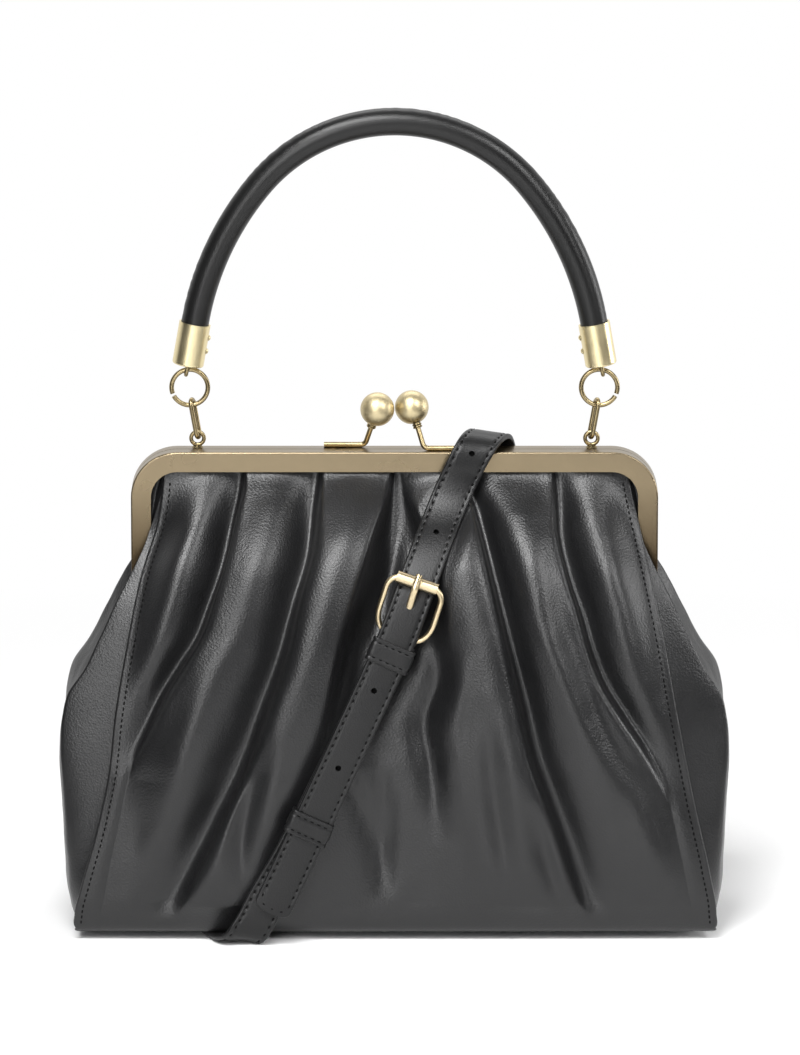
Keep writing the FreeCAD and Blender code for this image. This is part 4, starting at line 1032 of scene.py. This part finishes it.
# %% [markdown]
# ## Buckle and keepers
# Two leather loops hold the buckle's pivot bar, with the prong between them. A fixed and a sliding keeper
# go round both layers of the strap. The buckle itself is a wire ring with bent corners. Loops and ring
# are closed ribbons: they could be torus shapes squeezed by hand, but an outline carried round a line
# keeps one thickness all the way, as bent leather and wire do.


# %% Chape and keepers
LOOP_EDGE = 0.45        # rounding of a loop's edges
LOOP_CROWN = 0.12       # bulge of its face
LOOP_GROOVE = 0.35      # depth of its stitch grooves


def loop_band(name, corners, axis, width, thick, groove, material):
    """A leather loop: a closed strip round an axis through the given corner points."""
    line = np.asarray(corners, float)
    along = unit(np.roll(line, -1, axis=0) - np.roll(line, 1, axis=0))
    across_dir = np.broadcast_to(axis, line.shape)
    out = unit(np.cross(along, across_dir))
    outline = rounded_section(width, thick, min(LOOP_EDGE, thick * 0.4), LOOP_CROWN, groove)
    rings = ribbon_points(line, across_dir, out, outline, sink=LOOP_GROOVE)
    return ribbon(name, rings, material, closed=True)


def rounded_loop(centre, u, v, half_u, half_v, radius):
    """Points round a rectangle with rounded corners, in the plane of u and v, about 1.6 mm apart."""
    places = []
    for corner, (su, sv) in enumerate(((1, 1), (-1, 1), (-1, -1), (1, -1))):
        arc = np.linspace(0, math.pi / 2, 6) + corner * math.pi / 2
        middle = np.array([su * (half_u - radius), sv * (half_v - radius)])
        places.append(middle + radius * np.stack([np.cos(arc), np.sin(arc)], axis=1))
    places = np.concatenate(places)
    dense = []
    for start, end in zip(places, np.roll(places, -1, axis=0)):
        count = max(1, int(np.linalg.norm(end - start) / 1.6))
        dense.append(start + (end - start) * (np.arange(count) / count)[:, None])
    dense = np.concatenate(dense)
    return centre + dense[:, :1] * u + dense[:, 1:] * v


KEEPER_L = 11.5
KEEPER_T = 1.3
KEEPER_R = 1.6          # a keeper's corners
KEEPER_SIDE = 0.8       # room beside the strap, both sides together
KEEPER_STITCH = 2.15    # stitch grooves from its edges
KEEPER_ROW = 3.6        # stitch rows from its middle
KEEPER_ROW_L = 17.2
CHAPE_R = 2.15          # middle of the leather round the pivot bar
CHAPE_W, CHAPE_T = 6.4, 1.35
CHAPE_OFF = 5.4         # each loop from the middle of the strap
keepers = {}
keeper_axes = {}
for label, height, room in (("fixed_keeper", 139.4, 0.5), ("sliding_keeper", 58.0, 1.4)):
    i, j = at_height(tongue_line, height, True), at_height(under_line, height, True)
    centre = (tongue_line[i] + under_line[j]) / 2
    u, v = tongue_across[i], tongue_out[i]
    depth = abs(np.dot(tongue_line[i] - under_line[j], v)) + STRAP_T + room
    axis = np.cross(u, v)
    half_u, half_v = (STRAP_W + KEEPER_SIDE + KEEPER_T) / 2, (depth + KEEPER_T) / 2
    loop = rounded_loop(centre, u, v, half_u, half_v, KEEPER_R)
    keepers[label] = loop_band(label + "_leather", loop, axis, KEEPER_L, KEEPER_T, KEEPER_STITCH,
                               strap_leather)
    keeper_axes[label] = (centre, u, v, axis, depth)
run = unit(PIVOT - np.array(UNDER[-3], float))
round_bar = np.cross(BAR, run)
turns = np.linspace(0, 2 * math.pi, 28, endpoint=False)
ring = PIVOT + CHAPE_R * (np.cos(turns)[:, None] * run + np.sin(turns)[:, None] * round_bar)
ears = []
for label, shift in (("chape_left", -CHAPE_OFF), ("chape_right", CHAPE_OFF)):
    ears.append(loop_band(label, ring + BAR * shift, BAR, CHAPE_W, CHAPE_T, None, strap_leather))
print("keepers and chape made")


# %% Buckle frame
def bent_ring(name, centre, across, down, half, length, corner, taper, wire, material):
    """A bent wire ring: a rectangle with round upper corners and longer, elliptic lower corners, each a
    quarter turn, swept with a circle."""
    quarter = np.linspace(0, math.pi / 2, 16)
    upper = np.stack([half - corner + corner * np.sin(quarter), corner - corner * np.cos(quarter)], axis=1)
    lower = np.stack([half - taper[0] + taper[0] * np.cos(quarter),
                      length - taper[1] + taper[1] * np.sin(quarter)], axis=1)
    right = np.concatenate([upper, lower])
    outline = np.concatenate([right, right[::-1] * (-1, 1), right[:1]])
    far = along_rows(outline)
    even = np.linspace(0, far[-1], 220, endpoint=False)
    u, v = (np.interp(even, far, outline[:, i])[:, None] for i in range(2))
    line = centre + u * across + v * down
    along = unit(np.roll(line, -1, axis=0) - np.roll(line, 1, axis=0))
    face = np.cross(across, down)
    outward = np.cross(face, along)
    turn = np.linspace(0, 2 * math.pi, 20, endpoint=False)[:, None]
    rings = line[:, None] + wire * (np.cos(turn) * outward[:, None] + np.sin(turn) * face)
    return ribbon(name, rings, material, closed=True)


BUCKLE_L = np.linalg.norm(PIVOT - ROLLER)
buckle = bent_ring("buckle_ring", ROLLER, BAR, unit(PIVOT - ROLLER), half=13.4, length=BUCKLE_L, corner=5.8,
                   taper=(7.0, 10.5), wire=1.36, material=buckle_brass)
print("buckle faces:", len(buckle.data.polygons))


# %% Strap tabs
TAB_X = 104.0               # from the middle of the bag
TAB_TOP, TAB_LOW = np.array([36.9, 168.0]), np.array([42.6, 148.0])     # depth and height of its ends
TAB_W, TAB_T = 15.0, 1.4
TAB_TURN_R = 2.1            # middle of the leather round the ring's bar


def strap_tab(name, hand):
    """The folded leather tab that holds a strap ring on the back: down, round the ring's bar and up."""
    fall = unit(TAB_LOW - TAB_TOP)
    flat = np.array([-fall[1], fall[0]])
    outer = [TAB_TOP + flat * 1.6 + fall * d for d in np.linspace(0, 19.5, 12)]
    spin = np.linspace(0.35, 2 * math.pi - 0.9, 22)
    bend = [TAB_LOW + TAB_TURN_R * (math.cos(a) * flat + math.sin(a) * fall) for a in spin]
    inner = [TAB_TOP - flat * 0.1 + fall * d for d in np.linspace(17.0, 0, 10)]
    yz = np.array(outer + bend + inner)
    line = np.column_stack([np.full(len(yz), hand * TAB_X), yz])
    across_dir = np.broadcast_to([1.0, 0.0, 0.0], line.shape)
    out = unit(np.cross(unit(np.gradient(line, axis=0)), across_dir))
    rings = ribbon_points(line, across_dir, out, rounded_section(TAB_W, TAB_T, 0.5))
    return ribbon(name, rings, strap_leather)


tabs = [strap_tab("left_tab_leather", -1), strap_tab("right_tab_leather", 1)]
print("tabs made")

# %% [markdown]
# ## Stitching
# Thread shows as short sunk dashes. A row of stitches could be one object copied by an Array modifier
# along a curve. Here every row is one mesh of small capsules laid along the leather's own surface, so
# each stitch lies in its own pucker and the row bends with its leather.


# %% Stitches
STITCH_L = 2.0
# places along half a stitch's length, either way, and sides of its thread
CAPSULE = np.array([-1.0, -0.86, -0.5, 0.0, 0.5, 0.86, 1.0])
CAPSULE_SIDES = 8


def stitches(name, line, out, pitch, length, radius, at=None):
    """Capsule stitches along a line on a surface, evenly spaced or at given distances: each thins towards
    its tips and dips there into the leather."""
    far = along_rows(line)
    if at is None:
        count = max(1, int(far[-1] / pitch))
        at = (np.arange(count) + 0.5) * far[-1] / count

    def on_row(values, shift=0.0):
        """Values of the line at each stitch, or a little before or after it."""
        return np.stack([np.interp(at + shift, far, values[:, i]) for i in range(3)], axis=1)

    along = unit(on_row(line, 0.2) - on_row(line, -0.2))
    up = unit(on_row(out))
    wide = unit(np.cross(up, along))
    girth = np.sqrt(np.clip(1 - np.abs(CAPSULE) ** 2.6, 0.02, 1))[:, None] * radius
    turn = np.linspace(0, 2 * math.pi, CAPSULE_SIDES, endpoint=False)
    ends = np.repeat(CAPSULE, CAPSULE_SIDES)
    a = ends * length / 2
    b = (girth * np.cos(turn)).ravel()
    c = (girth * np.sin(turn)).ravel() - ends ** 2 * radius * 0.7
    points = (on_row(line)[:, None] + a[None, :, None] * along[:, None] + b[None, :, None] * wide[:, None]
              + c[None, :, None] * up[:, None])
    shell = np.array(grid_faces(len(CAPSULE), CAPSULE_SIDES, wrap_cols=True))
    tips = np.array(end_faces(len(CAPSULE), CAPSULE_SIDES))
    first = (np.arange(len(at)) * len(ends))[:, None, None]
    faces = [face for part in (shell, tips) for face in (part + first).reshape(-1, part.shape[1]).tolist()]
    return mesh_object(name, points.reshape(-1, 3), faces, thread)


def strap_rows(name, line, across_dir, out, start, stop):
    """Both edge rows of stitches on the outside of a strap, one stitch in each pucker of the groove."""
    far = along_rows(line)
    first, last = far[start] / PITCH - 0.5, far[stop - 1] / PITCH - 0.5
    centres = (np.arange(math.ceil(first), math.floor(last) + 1) + 0.5) * PITCH
    made = []
    for tag, sign in (("a", -1), ("b", 1)):
        row = line + across_dir * sign * (STRAP_W / 2 - INSET) + out * (STRAP_T / 2 - 0.2)
        at = np.interp(centres, far, along_rows(row))
        made.append(stitches(name + "_" + tag, row, out, PITCH, STITCH_L, 0.46, at))
    return made


ROW_START = 30.0        # stitches begin past the fold at the ring
ROW_END = 9.0           # and turn across this far from the tip
tip_stop = int(np.searchsorted(tongue_far, tongue_far[-1] - ROW_END))
fold_start = int(np.searchsorted(tongue_far, ROW_START))
under_start = int(np.searchsorted(under_far, ROW_START))
under_stop = len(under_line) - 10
end_rows = strap_rows("stitch_over_end", tongue_line, tongue_across, tongue_out, fold_start, drop + 1)
back_rows = strap_rows("stitch_over_back", tongue_line, tongue_across, tongue_out, drop, crest + 1)
front_rows = strap_rows("stitch_over_front", tongue_line, tongue_across, tongue_out, crest, tip_stop)
under_rows = strap_rows("stitch_under", under_line, under_across, under_out, under_start, under_stop)
print("strap stitches made")

# %% Tip and keeper stitches
i = tip_stop
half = np.linspace(0, math.pi, 41)
blunt_x = np.sign(np.cos(half)) * np.abs(np.cos(half)) ** 0.6
blunt_y = np.sin(half) ** 0.6
tip_row = (tongue_line[i] + tongue_across[i] * (blunt_x * (STRAP_W / 2 - INSET))[:, None]
           + tongue_along[i] * (blunt_y * 6.6)[:, None] + tongue_out[i] * (STRAP_T / 2 + 0.1))
tip_out = np.broadcast_to(tongue_out[i], tip_row.shape)
front_rows.append(stitches("stitch_tip", tip_row, tip_out, PITCH, STITCH_L, 0.42))
keeper_rows = {}
for label, (centre, u, v, axis, depth) in keeper_axes.items():
    keeper_rows[label] = []
    for tag, shift in (("a", -KEEPER_ROW), ("b", KEEPER_ROW)):
        middle = centre + axis * shift + v * (depth / 2 + KEEPER_T - 0.15)
        row = middle + u * np.linspace(-KEEPER_ROW_L / 2, KEEPER_ROW_L / 2, 30)[:, None]
        row_out = np.broadcast_to(v, row.shape)
        row_name = "stitch_" + label + "_" + tag
        keeper_rows[label].append(stitches(row_name, row, row_out, 2.9, STITCH_L, 0.3))
print("tip and keeper stitches made")

# %% Seam stitches
SEAM_IN = 2.6           # stitch rows from the panel's edge
SEAM_PITCH, SEAM_STITCH = 2.75, 2.1
SEAM_LOW, SEAM_TOP = 7, 214
seam_rows = {"front": [], "back": []}
for label, points, side in (("front", front_points, -1), ("back", back_points, 1)):
    out = facing_out(points, side)
    rows = np.flatnonzero((points[:, 0, 2] > SEAM_LOW) & (points[:, 0, 2] < SEAM_TOP))
    for tag, hand in (("left", -1), ("right", 1)):
        inset_x = hand * (by_height(points[..., 2], side_edge(hand)) - SEAM_IN)
        column = np.argmin(np.abs(points[..., 0] - inset_x), axis=1)[rows]
        line = points[rows, column]
        line[:, 0] = inset_x[rows, column]
        row_name = "stitch_seam_" + label + "_" + tag
        seam_rows[label].append(stitches(row_name, line, out[rows, column], SEAM_PITCH, SEAM_STITCH, 0.42))
print("seam stitches made")

# %% [markdown]
# ## What rides on what
# A purse opens by its frame, and the leather follows. A rigid piece is simply carried by one body. The
# front, the front halves of the gussets and the strap's lengths cross the hinge; here they only have their
# placing applied and are carried by no body.


def opens(piece):
    """Apply a piece's placing to its mesh; it is carried by no body."""
    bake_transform(piece)


for piece in [front, lining_front] + gusset_fronts + front_webs + seam_rows["front"]:
    opens(piece)
fixed = [back, base, lining_back, lining_floor, pocket] + seam_rows["back"]
for piece in fixed + gusset_backs + back_webs + tabs + ears + [buckle]:
    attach(piece, "bag_body")
for piece in [tongue_back] + back_rows:
    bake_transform(piece)
for piece in [tongue_end] + end_rows:
    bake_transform(piece)
for piece in [under_strap] + under_rows:
    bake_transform(piece)
for piece in [tongue_front] + front_rows:
    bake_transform(piece)
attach(handle, "handle")
for label, body in (("fixed_keeper", "bag_body"), ("sliding_keeper", "loose_keeper")):
    for piece in [keepers[label]] + keeper_rows[label]:
        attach(piece, body)
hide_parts("front_panel", "front_panel_top")
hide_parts("back_panel", "back_panel_top")
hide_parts("base_panel")
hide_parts("left_gusset")
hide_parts("right_gusset")
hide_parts("lining")
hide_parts("slip_pocket")
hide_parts("handle_cover")
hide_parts("strap_tongue")
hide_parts("strap_buckle_side")
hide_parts("buckle_chape")
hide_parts("buckle_frame")
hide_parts("fixed_keeper")
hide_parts("sliding_keeper")
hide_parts("left_strap_tab")
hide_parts("right_strap_tab")
print("rides set")

# %% [markdown]
# ## Finishes
# The metal pieces are the solids themselves: turned, bent and cast metal has the exact shape that they give,
# so they need no new mesh, only the brass that each one has. Every piece made here gets a material that
# it shares with others, so that a finish can be changed in one place.

# %% Finishes of the solids
FINISH = {
    frame_brass: ("front_frame", "back_frame", "left_hinge_rivet", "right_hinge_rivet", "base_studs"),
    ball_brass: ("front_clasp_ball", "back_clasp_ball"),
    chain_brass: ("front_clasp_wire", "back_clasp_wire", "front_clasp_collar", "back_clasp_collar",
                  "left_eye", "right_eye", "left_link", "right_link", "left_ring", "right_ring",
                  "left_staple", "right_staple", "left_strap_ring", "right_strap_ring"),
    bright_brass: ("left_ferrule", "right_ferrule", "left_ferrule_screws", "right_ferrule_screws"),
    buckle_brass: ("buckle_roller", "buckle_prong"),
    cord_fibre: ("front_frame_cord", "back_frame_cord", "handle_core"),
    board: ("base_board",)}
for material, names in FINISH.items():
    for name in names:
        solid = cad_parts[name]
        solid.data.materials.clear()
        solid.data.materials.append(material)
print("finishes set on", sum(len(names) for names in FINISH.values()), "solids")

# %% [markdown]
# ## Floor and light
# A product is photographed on a white sweep, with large soft lamps. Black leather shows mostly what it
# mirrors, so a plain white room would turn it grey. Here the surround is white only where the camera looks
# at it and where the brass mirrors what is behind the purse. The studio in front stays dim, and soft lamps
# above, in front and at both sides draw the ridges against dark hollows. The floor keeps a soft shadow
# near the purse, and further off it is plain white to the camera.


# %% Floor
def seen_rays(tree, kinds):
    """One for rays of the given kinds, and zero for the rest."""
    path_kind = node(tree, "ShaderNodeLightPath")
    seen = path_kind.outputs[kinds[0]]
    for kind in kinds[1:]:
        seen = combined(tree, "MAXIMUM", seen, path_kind.outputs[kind])
    return seen


CAMERA_RAYS = ("Is Camera Ray",)
MIRRORED = ("Is Glossy Ray", "Is Transmission Ray")
NEAR, FAR = 0.3, 0.75       # metres from the purse: from NEAR to FAR the floor turns to plain white
SHADE_NEAR, SHADE_FAR = 0.24, 0.5       # beside the purse the floor gives less light to the leather
FLOOR_WHITE, FLOOR_SHADE = (0.93, 0.93, 0.93), (0.16, 0.16, 0.16)
FLOOR_HALF = 6000.0
floor_material, tree, main = shader("floor")
spot = node(tree, "ShaderNodeSeparateXYZ", Vector=place(tree))
distance = node(tree, "ShaderNodeVectorMath", operation="LENGTH")
feed(tree, distance.inputs[0], place(tree))
sideways_off = node(tree, "ShaderNodeMath", operation="ABSOLUTE")
feed(tree, sideways_off.inputs[0], spot.outputs["X"])
looked_at = seen_rays(tree, CAMERA_RAYS)
shade = combined(tree, "MULTIPLY",
                 ranged(tree, sideways_off.outputs["Value"], 0.0, 1.0, SHADE_NEAR, SHADE_FAR),
                 ranged(tree, looked_at, 1.0, 0.0))
set_inputs(tree, main, Base_Color=tinted(tree, shade, FLOOR_WHITE, FLOOR_SHADE), Roughness=0.8,
           Specular_IOR_Level=0.0)
far_off = ranged(tree, distance.outputs["Value"], 0.0, 1.0, NEAR, FAR)
behind = ranged(tree, spot.outputs["Y"], 0.0, 1.0, 0.02, 0.25)
straight = combined(tree, "MULTIPLY", far_off, looked_at)
mirrored = combined(tree, "MULTIPLY", behind, seen_rays(tree, MIRRORED))
glow = node(tree, "ShaderNodeEmission", Color=(1.0, 1.0, 1.0, 1.0))
both = node(tree, "ShaderNodeMixShader", Fac=combined(tree, "MAXIMUM", straight, mirrored))
feed(tree, both.inputs[1], main.outputs["BSDF"])
feed(tree, both.inputs[2], glow.outputs["Emission"])
feed(tree, tree.nodes["Material Output"].inputs["Surface"], both.outputs["Shader"])
floor_steps = np.linspace(-FLOOR_HALF, FLOOR_HALF, 9)
floor_x, floor_y = np.meshgrid(floor_steps, floor_steps)
floor = grid_object("floor", np.stack([floor_x, floor_y, np.zeros((9, 9))], axis=-1), floor_material)
print("floor set")

# %% Surround
DIM = 0.06              # light from the studio round the purse
world = bpy.data.worlds.new("surround")
bpy.context.scene.world = world
world.use_nodes = True
tree = world.node_tree
facing = node(tree, "ShaderNodeTexCoord")
parts = node(tree, "ShaderNodeSeparateXYZ", Vector=facing.outputs["Generated"])
behind = ranged(tree, parts.outputs["Y"], 0.0, 1.0, -0.1, 0.5)
mirrored = combined(tree, "MULTIPLY", behind, seen_rays(tree, MIRRORED))
white = combined(tree, "MAXIMUM", mirrored, seen_rays(tree, CAMERA_RAYS))
set_inputs(tree, tree.nodes["Background"], Color=(1.0, 1.0, 1.0, 1.0),
           Strength=ranged(tree, white, DIM, 1.0))
print("surround set")

# %% Lamps
AIM = np.array([0.0, 0.0, 0.16])        # what the lamps face: the middle of the body, in metres


def softbox(name, place_m, width, height, watts):
    """A large lamp that faces the purse."""
    data = bpy.data.lights.new(name, "AREA")
    data.shape = "RECTANGLE"
    data.size = width
    data.size_y = height
    data.energy = watts
    lamp = bpy.data.objects.new(name, data)
    lamp.location = place_m
    aim = AIM - np.array(place_m)
    lamp.rotation_euler = (math.pi / 2 - math.atan2(-aim[2], math.hypot(aim[0], aim[1])), 0,
                           math.atan2(aim[1], aim[0]) - math.pi / 2)
    bpy.context.scene.collection.objects.link(lamp)


# name, place in metres, width, height and watts
softbox("key", (-0.35, -1.05, 1.6), 0.9, 0.7, 35.0)
softbox("middle", (-0.5, -1.75, 1.1), 0.8, 0.5, 10.0)
softbox("front", (-0.7, -2.3, 0.5), 0.8, 0.8, 12.0)
softbox("fill", (0.95, -0.95, 1.35), 0.6, 0.6, 12.0)
softbox("low right", (1.3, -1.26, 0.9), 0.5, 0.7, 6.0)
softbox("right", (1.5, 0.15, 0.45), 0.5, 0.8, 9.0)
softbox("behind", (0.0, 0.9, 1.5), 1.6, 0.6, 8.0)
bpy.context.scene.view_settings.view_transform = "Standard"
print("lamps set")
